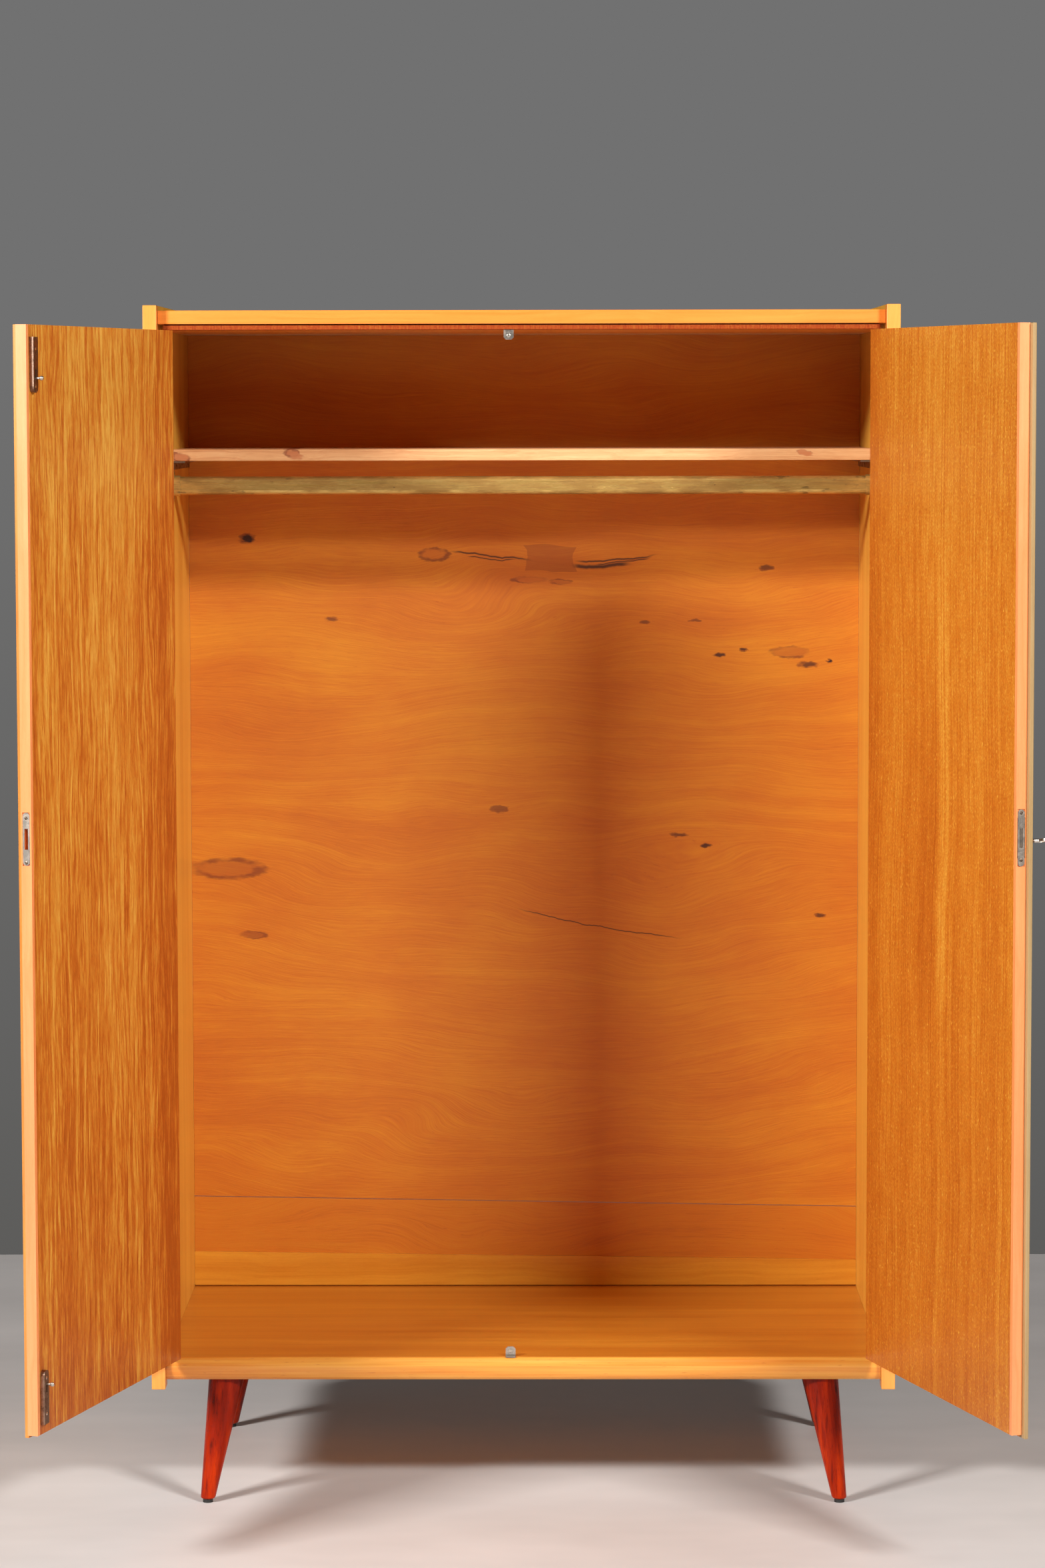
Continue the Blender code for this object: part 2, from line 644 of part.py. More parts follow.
def build_bolt(door, word, exit_z, away, finish):
    """A sliding bolt: its housing on the door, and the slide with its knob at rest."""
    x = -CLOSING_EDGE - BOLT_INSET
    base = INNER_FACE + FIT
    crown = base + HOUSING_HEIGHT
    roof = crown - HOUSING_WALL
    tail = exit_z + away * (SLIDE_LENGTH + FIT)
    housing = prism(housing_outline(exit_z, away), 1, base, crown)
    housing = smooth(door.add(f"{word}_bolt_housing", housing, finish["nickel"]))
    half = SLIDE_WIDTH / 2 + SLIDE_SIDE_GAP
    mouth = exit_z - away * FIT
    channel = block((x - half, x + half), (base - FIT, roof), sorted((mouth, tail)))
    door.cut(housing, channel)
    knob_z = exit_z + away * KNOB_FROM_END
    reach = KNOB_STEM + SLOT_CLEARANCE
    ends = sorted((knob_z + away * reach, knob_z - away * (BOLT_TRAVEL + reach)))
    slot = block((x - reach, x + reach), (roof - FIT, crown + FIT), ends)
    door.cut(housing, slot)
    slide = Group(f"{word}_bolt_guide", (x, roof, exit_z), parent=door)
    top = roof - SLIDE_SIDE_GAP
    half = SLIDE_WIDTH / 2
    bar = block((x - half, x + half), (top - SLIDE_THICKNESS, top), sorted((exit_z, tail - away * FIT)))
    slide.add(f"{word}_bolt_slide", bar, finish["steel"], (x, roof, exit_z))
    ball = crown + KNOB_HEIGHT
    stations = [((x, top + FIT, knob_z), KNOB_STEM)]
    for step in range(1, 8):
        angle = pi * step / 8
        radius = max(KNOB_STEM, KNOB_RADIUS * sin(angle))
        stations.append(((x, ball - KNOB_RADIUS * cos(angle), knob_z), radius))
    knob = turned(stations, 1, 16)
    smooth(slide.add(f"{word}_bolt_knob", knob, finish["nickel"], (x, roof, knob_z)))


def build_right_door(door, finish):
    """Right door: as the left one, with a meeting strip that laps over the left door."""
    height = (DOOR_BOTTOM, DOOR_TOP)
    depth = (CORE_FRONT, INNER_FACE)
    strip_back = CLOSING_EDGE + EDGE_STRIP
    case_back = CLOSING_EDGE + PLATE_THICKNESS + FIT + CASE_DEPTH
    room = 2 * FIT
    hole = [((KEY_X, -EDGE_STRIP, KEY_Z), KEY_HOLE), ((KEY_X, LOCK_Y, KEY_Z), KEY_HOLE)]
    core = block((strip_back + FIT, HINGE_EDGE), depth, height)
    core = door.add("right_door_core", core, finish["veneer"])
    door.cut(core, slot_block((strip_back, case_back + FIT), CASE_THICKNESS + room, CASE_HEIGHT + room))
    door.cut(core, turned(hole, 1, 16))
    strip = block((CLOSING_EDGE, strip_back), depth, height)
    strip = door.add("right_door_edge_strip", strip, finish["pale_wood"])
    door.cut(strip, lock_pocket(FACEPLATE_LENGTH, PLATE_THICKNESS + FIT, 1))
    pocket = (CLOSING_EDGE, strip_back + FIT)
    door.cut(strip, slot_block(pocket, CASE_THICKNESS + room, CASE_HEIGHT + room))
    foot = DOOR_BOTTOM - LIP_DROP
    lip = CLOSING_EDGE - RIGHT_LIP_OVERHANG
    lap = block((lip, lip + MEETING_STRIP), (0, PANEL_THICKNESS), (foot, DOOR_TOP))
    soften(door.add("right_door_meeting_strip", lap, finish["pale_wood"]))
    panel = block((lip + MEETING_STRIP + FIT, HINGE_EDGE), (0, PANEL_THICKNESS), (foot, DOOR_TOP))
    panel = soften(door.add("right_door_front_panel", panel, finish["veneer"]), 0.0006)
    door.cut(panel, turned(hole, 1, 16))


def build_lock(door, finish):
    """Mortise lock in the right door: case, faceplate, bolt, escutcheon and key."""
    front = CLOSING_EDGE + PLATE_THICKNESS + FIT
    room = 2 * FIT
    case = slot_block((front, front + CASE_DEPTH), CASE_THICKNESS, CASE_HEIGHT)
    case = door.add("lock_case", case, finish["steel"])
    inside = (front + CASE_WALL, front + CASE_DEPTH - CASE_WALL)
    door.cut(case, slot_block(inside, CASE_THICKNESS - 2 * CASE_WALL, CASE_HEIGHT - 2 * CASE_WALL))
    mouth = (CLOSING_EDGE - FIT, front + 2 * CASE_WALL)
    bolt_room = (LOCK_BOLT_THICKNESS + room, LOCK_BOLT_HEIGHT + room)
    door.cut(case, slot_block(mouth, *bolt_room))
    hole = [((KEY_X, -EDGE_STRIP, KEY_Z), KEY_HOLE), ((KEY_X, LOCK_Y, KEY_Z), KEY_HOLE)]
    door.cut(case, turned(hole, 1, 16))
    outline = stadium(PLATE_WIDTH, FACEPLATE_LENGTH, (LOCK_Y, LOCK_HEIGHT))
    plate = prism(outline, 0, CLOSING_EDGE, CLOSING_EDGE + PLATE_THICKNESS)
    plate = door.add("lock_faceplate", plate, finish["nickel"])
    door.cut(plate, slot_block(mouth, *bolt_room))
    guide = (CLOSING_EDGE, LOCK_Y, LOCK_HEIGHT)
    bolt = Group("lock_bolt_guide", guide, parent=door)
    bar = slot_block((CLOSING_EDGE, CLOSING_EDGE + LOCK_BOLT_LENGTH), LOCK_BOLT_THICKNESS, LOCK_BOLT_HEIGHT)
    bolt.add("lock_bolt", bar, finish["steel"], guide)
    outline = ellipse(ESCUTCHEON_WIDTH, ESCUTCHEON_HEIGHT, (KEY_X, KEY_Z))
    cover = prism(outline, 1, -FIT - ESCUTCHEON_THICKNESS, -FIT)
    cover = smooth(door.add("key_escutcheon", cover, finish["bronze"]))
    door.cut(cover, turned(hole, 1, 16))


def build_key(door, finish):
    """The key in its lock: a round shank, an oval bow outside and the bit inside."""
    axis = Group("key_guide", (KEY_X, 0, KEY_Z), parent=door)
    neck = -KEY_REACH + BOW_LENGTH
    end = LOCK_Y + BIT_LENGTH / 2
    ends = [((KEY_X, y, KEY_Z), KEY_SHANK) for y in (neck - BOW_RIM / 2, end)]
    key = smooth(axis.add("key", turned(ends, 1, 16), finish["bronze"], (KEY_X, 0, KEY_Z)))
    middle = (KEY_X, -KEY_REACH + BOW_LENGTH / 2)
    level = (KEY_Z - BOW_THICKNESS / 2, KEY_Z + BOW_THICKNESS / 2)
    bow = axis.join(key, prism(ellipse(BOW_WIDTH, BOW_LENGTH, middle), 2, *level))
    opening = ellipse(BOW_WIDTH - 2 * BOW_RIM, BOW_LENGTH - 2 * BOW_RIM, middle)
    axis.cut(bow, prism(opening, 2, level[0] - FIT, level[1] + FIT))
    half = BIT_THICKNESS / 2
    bit = block((KEY_X, KEY_X + BIT_REACH), (end - BIT_LENGTH, end - FIT), (KEY_Z - half, KEY_Z + half))
    axis.join(key, bit)
    axis.empty.rotation_euler.y = BOW_TILT


def build():
    """Make every piece of the wardrobe."""
    clear_scene()
    finish = {
        "veneer": material("veneer", (0.50, 0.20, 0.05), 0.45),
        "pale_wood": material("pale_wood", (0.80, 0.50, 0.18), 0.40),
        "orange_wood": material("orange_wood", (0.70, 0.22, 0.05), 0.55),
        "plywood": material("plywood", (0.60, 0.24, 0.06), 0.55),
        "pine": material("pine", (0.75, 0.50, 0.27), 0.55),
        "mahogany": material("mahogany", (0.35, 0.05, 0.01), 0.30),
        "brass": material("brass", (0.55, 0.42, 0.16), 0.35, 1.0),
        "nickel": material("nickel", (0.60, 0.56, 0.52), 0.30, 1.0),
        "steel": material("steel", (0.30, 0.28, 0.26), 0.45, 1.0),
        "bronze": material("bronze", (0.20, 0.12, 0.07), 0.40, 1.0),
        "black_plastic": material("black_plastic", (0.02, 0.02, 0.02), 0.50),
    }
    carcass = Group("carcass", (0, 0, 0))
    build_sides(carcass, finish)
    build_top(carcass, finish)
    build_floor(carcass, finish)
    build_back(carcass, finish)
    build_shelf(carcass, finish)
    build_clothes_rail(carcass, finish)
    build_legs(carcass, finish)
    build_keepers(carcass, finish)
    left = Group("left_door", (-PIN_X, PIN_Y, 0), -LEFT_OPEN, carcass)
    right = Group("right_door", (PIN_X, PIN_Y, 0), RIGHT_OPEN, carcass)
    build_hinge(carcass, left, -1, "left", finish)
    build_hinge(carcass, right, 1, "right", finish)
    build_left_door(left, finish)
    build_bolt(left, "top", DOOR_TOP - BOLT_END_GAP_TOP, -1, finish)
    build_bolt(left, "bottom", DOOR_BOTTOM + BOLT_END_GAP_BOTTOM, 1, finish)
    build_right_door(right, finish)
    build_lock(right, finish)
    build_key(right, finish)


build()
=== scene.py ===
# %% [markdown]
# # A two-door wardrobe with its doors open
# The wardrobe's boards, doors and fittings come in as a fixed frame.  This script gives
# each of them its finish, adds the small pieces that are too fine for the frame, such as
# screws and hinge knuckles, and sets up a camera and soft light.  All sizes are metres,
# +Z is up and the doors are on the -Y side.

# %% Load the frame
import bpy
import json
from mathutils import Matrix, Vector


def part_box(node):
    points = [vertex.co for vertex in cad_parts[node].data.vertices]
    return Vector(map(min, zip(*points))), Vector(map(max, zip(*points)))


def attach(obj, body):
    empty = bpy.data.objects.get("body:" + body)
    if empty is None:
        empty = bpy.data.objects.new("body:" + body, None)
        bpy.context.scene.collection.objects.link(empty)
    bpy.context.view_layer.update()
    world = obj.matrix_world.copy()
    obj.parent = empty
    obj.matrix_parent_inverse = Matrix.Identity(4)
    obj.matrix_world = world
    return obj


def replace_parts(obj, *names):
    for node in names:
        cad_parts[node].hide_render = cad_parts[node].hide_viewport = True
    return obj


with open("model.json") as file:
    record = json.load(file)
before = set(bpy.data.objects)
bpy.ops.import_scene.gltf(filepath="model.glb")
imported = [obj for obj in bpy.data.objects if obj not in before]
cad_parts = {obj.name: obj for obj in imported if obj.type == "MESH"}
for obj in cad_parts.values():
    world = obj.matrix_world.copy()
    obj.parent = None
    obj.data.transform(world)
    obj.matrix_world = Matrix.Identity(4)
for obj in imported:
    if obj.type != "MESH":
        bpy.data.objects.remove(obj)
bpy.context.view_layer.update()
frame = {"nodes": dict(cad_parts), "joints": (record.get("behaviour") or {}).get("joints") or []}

import json
from math import cos, radians, sin

import bpy
import numpy as np
from mathutils import Matrix, Vector

nodes = frame["nodes"]
print(len(nodes), "pieces in the frame")

# %% [markdown]
# ## Where the doors are
# Both doors are stored open.  Wood grain and fittings belong to the door and not to the
# room, so each door gets its own three directions: along it from the hinge to the closing
# edge, through it from the show face to the inner face, and up.  A door could be turned
# shut, worked on and turned back, but the grain has to be read where the piece really
# is, so it is simpler to carry the directions.

# %% The doors' own directions
joints = {joint["name"]: joint for joint in frame["joints"]}


class Door:
    """A door's pin, and its directions: along (hinge to closing edge), through (show to inner)."""

    def __init__(self, word, side, opening):
        self.word = word
        self.pin = Vector(joints[f"{word}_door_hinge"]["pos_m"])
        turn = side * opening
        self.along = Vector((-side * cos(turn), -side * sin(turn), 0))
        self.through = Vector((-sin(turn), cos(turn), 0))

    def point(self, along, through, height):
        """A place in the room from its distances from the pin's axis."""
        spot = self.pin + self.along * along + self.through * through
        return Vector((spot.x, spot.y, height))


left = Door("left", -1, radians(107.2))
right = Door("right", 1, radians(108.3))
for door in (left, right):
    print(door.word, "door, along", [round(v, 3) for v in door.along])

# %% [markdown]
# ## Camera
# The view is from the front at eye height, far back with a long lens, looking slightly
# down.  The camera could be aimed with a constraint, but writing its three directions
# into a matrix keeps it exact and leaves nothing live in the file.

# %% Camera
EYE = Vector((0.0255, -7.1265, 1.7689))
LOOK_DOWN = 0.08403
LOOK_ASIDE = -0.00623
LEAN = -0.0017
LENS = 102.48


def camera_matrix(eye, down, aside, lean):
    """Columns are right, up and backwards: the forward line is tipped down, then the pair leans."""
    forward = Vector((sin(aside) * cos(down), cos(aside) * cos(down), -sin(down)))
    level = forward.cross(Vector((0, 0, 1))).normalized()
    upright = level.cross(forward)
    across = cos(lean) * level + sin(lean) * upright
    up = cos(lean) * upright - sin(lean) * level
    turn = Matrix((across, up, -forward)).transposed()
    return Matrix.Translation(eye) @ turn.to_4x4()


camera = bpy.data.objects.new("camera", bpy.data.cameras.new("camera"))
bpy.context.scene.collection.objects.link(camera)
camera.data.sensor_fit = "VERTICAL"
camera.data.sensor_height = 36
camera.data.lens = LENS
camera.data.clip_end = 60
camera.matrix_world = camera_matrix(EYE, LOOK_DOWN, LOOK_ASIDE, LEAN)
bpy.context.scene.camera = camera
bpy.context.scene.view_settings.view_transform = "Standard"
print("camera at", [round(v, 2) for v in EYE])

# %% [markdown]
# ## Shader arithmetic
# A wood or metal finish is a long sum of noises and masks.  Nodes could be placed and
# wired one at a time, which hides the sum.  Here a small class wraps a socket so that
# Python's own + - * / write the Math nodes, and one method makes every other node.

# %% A value that arithmetic can use
class Value:
    """A shader socket: each operator adds one Math node and gives back its result."""

    def __init__(self, paint, socket):
        self.paint = paint
        self.socket = socket

    def math(self, operation, *terms):
        return self.paint.add("Math", {"operation": operation}, terms)

    def __add__(self, other):
        return self.math("ADD", self, other)

    def __radd__(self, other):
        return self.math("ADD", other, self)

    def __sub__(self, other):
        return self.math("SUBTRACT", self, other)

    def __rsub__(self, other):
        return self.math("SUBTRACT", other, self)

    def __mul__(self, other):
        return self.math("MULTIPLY", self, other)

    def __rmul__(self, other):
        return self.math("MULTIPLY", other, self)

    def __truediv__(self, other):
        return self.math("DIVIDE", self, other)

    def __pow__(self, other):
        return self.math("POWER", self, other)

    def __abs__(self):
        return self.math("ABSOLUTE", self)


# %% [markdown]
# A material is painted through one object.  Its calls name what they make, such as noise,
# a step or a ramp, so that a finish reads from top to bottom like a recipe.

# %% A finish that is being painted
def tint(red, green, blue):
    """A colour from its eight-bit values, as the linear light that shaders mix."""
    levels = np.array((red, green, blue)) / 255
    linear = np.where(levels <= 0.04045, levels / 12.92, ((levels + 0.055) / 1.055) ** 2.4)
    return (*[float(level) for level in linear], 1.0)


class Paint:
    """A material with one Principled shader, and the calls that grow its nodes."""

    def __init__(self, name, **constants):
        self.material = bpy.data.materials.new(name)
        self.material.use_nodes = True
        self.tree = self.material.node_tree
        self.shader = self.tree.nodes["Principled BSDF"]
        for socket, value in constants.items():
            title = socket.replace("_", " ").title().replace("Ior", "IOR")
            self.shader.inputs[title].default_value = value

    def add(self, kind, settings=(), inputs=(), output=0):
        """Any node: its settings first, then values or links by socket name or place."""
        node = self.tree.nodes.new("ShaderNode" + kind)
        for name, value in dict(settings).items():
            if name == "stops":
                self.set_stops(node.color_ramp, value)
            else:
                setattr(node, name, value)
        pairs = inputs.items() if isinstance(inputs, dict) else enumerate(inputs)
        for key, value in pairs:
            self.feed(node.inputs[key], value)
        return Value(self, node.outputs[output])

    def set_stops(self, ramp, stops):
        while len(ramp.elements) < len(stops):
            ramp.elements.new(0.5)
        for element, (place, colour) in zip(ramp.elements, stops):
            element.position = place
            element.color = colour

    def feed(self, socket, value):
        if isinstance(value, Value):
            self.tree.links.new(value.socket, socket)
        else:
            socket.default_value = value

    def set(self, **channels):
        """Link the channels that vary over the surface."""
        for name, value in channels.items():
            self.feed(self.shader.inputs[name.replace("_", " ").title()], value)
        return self.material

    def place(self, door=None):
        """Across, through and up in metres; on a door, from the hinge along the door."""
        spot = self.add("TexCoord", output=3)
        if door:
            spot = self.add("VectorMath", {"operation": "SUBTRACT"}, [spot, door.pin])
            along = self.add("VectorMath", {"operation": "DOT_PRODUCT"}, [spot, door.along], 1)
            through = self.add("VectorMath", {"operation": "DOT_PRODUCT"}, [spot, door.through], 1)
            return [along, through, self.add("SeparateXYZ", inputs=[spot], output=2) + door.pin.z]
        return [self.add("SeparateXYZ", inputs=[spot], output=part) for part in range(3)]

    def noise(self, place, sizes, detail=2.0, shift=0.0, rough=0.5, twist=0.0):
        """Noise from 0 to 1 whose features have the given sizes in metres along each direction."""
        scaled = [part / size + shift for part, size in zip(place, sizes)]
        vector = self.add("CombineXYZ", inputs=scaled)
        words = {"Vector": vector, "Scale": 1.0, "Detail": detail, "Roughness": rough}
        return self.add("TexNoise", inputs={**words, "Distortion": twist})

    def step(self, value, low, high):
        """A soft step: 0 below low, 1 above high (or the other way round)."""
        words = {"Value": value, "From Min": low, "From Max": high}
        return self.add("MapRange", {"interpolation_type": "SMOOTHSTEP"}, words)

    def ramp(self, value, stops):
        """A colour ramp."""
        return self.add("ValToRGB", {"stops": stops}, [value])

    def blend(self, share, first, second):
        """A colour between two others."""
        return self.add("Mix", {"data_type": "RGBA"}, {0: share, 6: first, 7: second}, 2)

    def bump(self, height, distance):
        """A normal from a height that runs from 0 to 1, times a distance in metres."""
        return self.add("Bump", inputs={"Strength": 1.0, "Distance": distance, "Height": height})


def dress(material, *names):
    """Give frame pieces a finish."""
    for name in names:
        mesh = nodes[name].data
        mesh.materials.clear()
        mesh.materials.append(material)


print("shader helpers ready")

# %% [markdown]
# ## Veneer on the left door
# The inner face is a ribbon-striped veneer: bright streaks a few millimetres wide and a
# hand long, which lean a little and break up, over an orange-brown ground that gets
# redder towards the hinge.  A wave texture would give even stripes.  Noise stretched
# along the grain at four widths, summed and read through one colour ramp, gives streaks
# that start and stop as real ones do.

# %% Ribbon veneer
VENEER_RELIEF = 0.00016


def fine_grain(paint, place, grain):
    """Specks and hair-thin pores that run along one direction (0 across, 2 up)."""
    speck = [0.0012, 0.0012, 0.0012]
    speck[grain] = 0.006
    pore = [0.0007, 0.0007, 0.0007]
    pore[grain] = 0.020
    specks = paint.noise(place, speck, 2, 3.1)
    pores = paint.step(paint.noise(place, pore, 2, 7.7), 0.60, 0.72)
    return specks, pores


def ribbon_veneer(name, door):
    paint = Paint(name, coat_weight=0.25, coat_roughness=0.22)
    along, through, up = paint.place(door)
    lean = (paint.noise((along, through, up), (0.12, 0.3, 0.30), 2, 1.7) - 0.5) * 0.050
    place = (along + lean, through, up)
    band = paint.noise(place, (0.060, 0.3, 0.9), 2, 0.3)
    ribbon = paint.noise(place, (0.0085, 0.1, 0.20), 3, 5.1, 0.65)
    flame = paint.noise(place, (0.0042, 0.1, 0.040), 3, 9.4, 0.70, 0.4)
    specks, pores = fine_grain(paint, place, 2)
    bright = paint.step(paint.noise(place, (0.0050, 0.1, 0.12), 2, 2.9), 0.54, 0.66)
    tone = band * 0.30 + ribbon * 0.70 + flame * 0.80 + specks * 0.16 + bright * 0.12 - 0.52
    # Painted light and shade: the last term makes the veneer lighter towards the top and darker
    # towards the bottom.
    tone = tone - paint.step(along, 0.20, -0.02) * 0.13 - pores * 0.05 + (up - 1.1) * 0.09
    stops = [
        (0.24, tint(162, 75, 14)),
        (0.40, tint(186, 100, 26)),
        (0.54, tint(203, 132, 43)),
        (0.72, tint(219, 166, 71)),
    ]
    colour = paint.ramp(tone, stops)
    shine = 0.36 + 0.12 * flame
    relief = paint.bump(tone - pores * 0.3, VENEER_RELIEF)
    return paint.set(base_color=colour, roughness=shine, normal=relief)


dress(ribbon_veneer("left_ribbon_veneer", left), "left_door_core")
print("left door's core is veneered")

# %% [markdown]
# ## Veneer on the right door
# The same kind of wood cut flatter: close vertical lines, tiny pale flecks, and one
# flame down the middle where the grain dips, pale on one side and dark on the other.
# The flame could be painted into an attribute; a band mask that wanders with noise costs
# less and stays sharp at any distance.

# %% Flecked veneer with a flame
def flecked_veneer(name, door):
    paint = Paint(name, coat_weight=0.25, coat_roughness=0.22)
    along, through, up = paint.place(door)
    wander = (paint.noise((along, through, up), (0.4, 0.4, 0.35), 1, 4.2) - 0.5) * 0.040
    place = (along + wander, through, up)
    band = paint.noise(place, (0.075, 0.3, 1.3), 2, 6.6)
    line = paint.noise(place, (0.0030, 0.1, 0.9), 3, 1.2, 0.65)
    mottle = paint.noise((along, through, up), (0.016, 0.1, 0.060), 4, 8.8, 0.6)
    specks, pores = fine_grain(paint, place, 2)
    fleck = paint.step(paint.noise(place, (0.0030, 0.01, 0.0075), 2, 5.5), 0.60, 0.70)
    grit = paint.noise(place, (0.0024, 0.01, 0.0042), 2, 2.6)
    centre = place[0] - 0.285
    reach = paint.step(up, 0.78, 0.95) * paint.step(up, 1.75, 1.35)
    pale_side = paint.step(abs(centre - 0.016), 0.030, 0.004) * reach
    dark_side = paint.step(abs(centre + 0.045), 0.060, 0.010)
    dark_side = dark_side * paint.step(up, 0.72, 0.95) * paint.step(up, 1.5, 1.1)
    tone = band * 0.24 + line * 0.56 + mottle * 0.30 + specks * 0.16 + grit * 0.44 - 0.37
    tone = tone + pale_side * 0.13 - dark_side * 0.12 + fleck * 0.24 - pores * 0.14
    # Painted light and shade: the last term makes the veneer lighter towards the top and darker
    # towards the bottom.
    tone = tone - paint.step(along, 0.09, 0.0) * 0.08 + (up - 1.1) * 0.05
    stops = [
        (0.24, tint(159, 74, 12)),
        (0.42, tint(181, 98, 21)),
        (0.56, tint(196, 120, 32)),
        (0.76, tint(216, 161, 62)),
    ]
    colour = paint.ramp(tone, stops)
    shine = 0.34 + 0.12 * mottle
    relief = paint.bump(tone - pores * 0.3, VENEER_RELIEF)
    return paint.set(base_color=colour, roughness=shine, normal=relief)


dress(flecked_veneer("right_flecked_veneer", right), "right_door_core")
print("right door's core is veneered")

# %% [markdown]
# ## Show faces
# The outsides of the doors and the carcass are honey-coloured lacquered veneer with
# calm straight grain that runs up them.  One function makes it for any piece: a door
# hands over its own directions and the carcass uses the room's.

# %% Honey veneer, any direction of grain
DEEP_HONEY, PALE_HONEY = tint(192, 112, 33), tint(231, 160, 65)


def honey_veneer(name, door=None, grain=2, deep=DEEP_HONEY, pale=PALE_HONEY, shift=0.0):
    paint = Paint(name, coat_weight=0.35, coat_roughness=0.15)
    place = paint.place(door)
    bend = (paint.noise(place, (0.25, 0.25, 0.25), 2, 2.2 + shift) - 0.5) * 0.030
    cross = 0 if grain == 2 else 2
    place[cross] = place[cross] + bend
    place[1] = place[1] + bend
    broad, narrow = [0.045, 0.045, 0.045], [0.006, 0.006, 0.006]
    broad[grain], narrow[grain] = 0.9, 0.45
    band = paint.noise(place, broad, 2, 3.3 + shift)
    line = paint.noise(place, narrow, 3, 6.1 + shift, 0.6)
    specks, pores = fine_grain(paint, place, grain)
    tone = band * 0.7 + line * 0.5 + specks * 0.12 - pores * 0.08 - 0.15
    colour = paint.ramp(tone, [(0.25, deep), (0.75, pale)])
    shine = 0.30 + 0.1 * line
    return paint.set(base_color=colour, roughness=shine, normal=paint.bump(tone, 0.0003))


dress(honey_veneer("left_show_veneer", left), "left_door_front_panel")
dress(honey_veneer("right_show_veneer", right, shift=4.0), "right_door_front_panel")
print("show faces are veneered")

# %% [markdown]
# ## Solid pale wood
# The stiles, the rails and the doors' closing edges are solid pale wood with a fine even
# grain, a few darker pores and a warm lacquer.  It is the honey veneer's recipe with
# narrower bands, so the same function makes it, in paler colours and with the grain
# along each piece.

# %% Stiles, rails and closing edges
STILE = {"deep": tint(221, 131, 47), "pale": tint(241, 163, 74)}
TOP_RAIL = {"deep": tint(223, 117, 34), "pale": tint(246, 149, 60)}
EDGE = {"deep": tint(226, 129, 70), "pale": tint(241, 156, 99)}
MEETING = {"deep": tint(155, 120, 74), "pale": tint(174, 145, 100)}
dress(honey_veneer("stile_wood", shift=1.3, **STILE), "side_stile_left", "side_stile_right")
dress(honey_veneer("top_rail_wood", grain=0, shift=2.6, **TOP_RAIL), "top_front_rail")
for door in (left, right):
    edge = honey_veneer(f"{door.word}_edge_wood", door, shift=5.2, **EDGE)
    dress(edge, f"{door.word}_door_edge_strip")
meeting = honey_veneer("meeting_strip_wood", right, shift=7.7, **MEETING)
dress(meeting, "right_door_meeting_strip")


def bottom_rail_wood():
    """Pale, darker towards its left end, with small dark flecks along the grain."""
    paint = Paint("bottom_rail_wood", coat_weight=0.35, coat_roughness=0.18)
    place = paint.place()
    band = paint.noise(place, (0.5, 0.02, 0.012), 2, 1.1)
    line = paint.noise(place, (0.25, 0.004, 0.003), 3, 4.4)
    fleck = paint.step(paint.noise(place, (0.018, 0.0015, 0.0009), 1, 8.1), 0.72, 0.78)
    left_end = paint.step(place[0] * -1.0, 0.30, 0.60)
    tone = band * 0.5 + line * 0.5 - left_end * 0.12 - fleck * 0.35
    stops = [(0.05, tint(172, 87, 21)), (0.35, tint(210, 125, 39)), (0.65, tint(230, 163, 68))]
    colour, shine = paint.ramp(tone, stops), 0.32 + 0.1 * line
    return paint.set(base_color=colour, roughness=shine, normal=paint.bump(line - fleck, 0.0002))


dress(bottom_rail_wood(), "bottom_front_rail")
print("pale wood done")

# %% [markdown]
# ## The back
# The back is rotary-cut plywood: the grain runs from side to side, swells round hidden
# bumps like contour lines, and has knots, a patch let in where one fell out, and two
# open cracks.  The contour look comes from bending the height coordinate with broad
# noise before fine lines are drawn in it.  Each knot is an ellipse whose outline noise
# has roughened; a dark ring or a dark middle is a band of its distance.

# %% Knots, patches and cracks
BACK_KNOTS = (
    # middle x, middle z, half width, half height, how dark its middle is
    (-0.497, 1.545, 0.013, 0.008, 1.0),
    (-0.175, 1.517, 0.024, 0.010, 0.0),
    (-0.353, 1.406, 0.012, 0.004, 0.6),
    (-0.010, 1.474, 0.028, 0.005, 0.0),
    (0.044, 1.470, 0.018, 0.004, 0.1),
    (0.400, 1.494, 0.012, 0.004, 0.7),
    (0.188, 1.400, 0.009, 0.003, 0.6),
    (0.277, 1.403, 0.010, 0.002, 0.6),
    (0.318, 1.343, 0.009, 0.003, 0.9),
    (0.359, 1.352, 0.007, 0.003, 0.9),
    (0.440, 1.348, 0.030, 0.009, 0.1),
    (0.471, 1.326, 0.016, 0.005, 0.8),
    (0.508, 1.333, 0.004, 0.003, 1.0),
    (-0.063, 1.076, 0.015, 0.006, 0.5),
    (0.249, 1.031, 0.014, 0.003, 0.7),
    (0.296, 1.012, 0.008, 0.003, 0.9),
    (-0.534, 0.973, 0.056, 0.016, 0.15),
    (-0.490, 0.857, 0.021, 0.006, 0.3),
    (0.493, 0.891, 0.008, 0.003, 0.8),
)
CRACKS = (
    # start, end, how far the middle is raised, half thickness
    ((0.060, 1.497), (0.170, 1.503), -0.012, 0.0050),
    ((0.065, 1.505), (0.215, 1.516), -0.010, 0.0022),
    ((0.100, 1.500), (0.205, 1.512), -0.004, 0.0016),
    ((-0.150, 1.523), (0.000, 1.505), 0.006, 0.0022),
    ((-0.120, 1.515), (-0.030, 1.507), -0.004, 0.0015),
    ((-0.040, 0.905), (0.265, 0.850), -0.030, 0.0014),
)
PATCH_X, PATCH_Z = 0.026, 1.5105
PATCH_HALF_WIDTH, PATCH_HALF_HEIGHT, PATCH_WAIST = 0.039, 0.022, 14.0
SOFTNESS = 0.0005


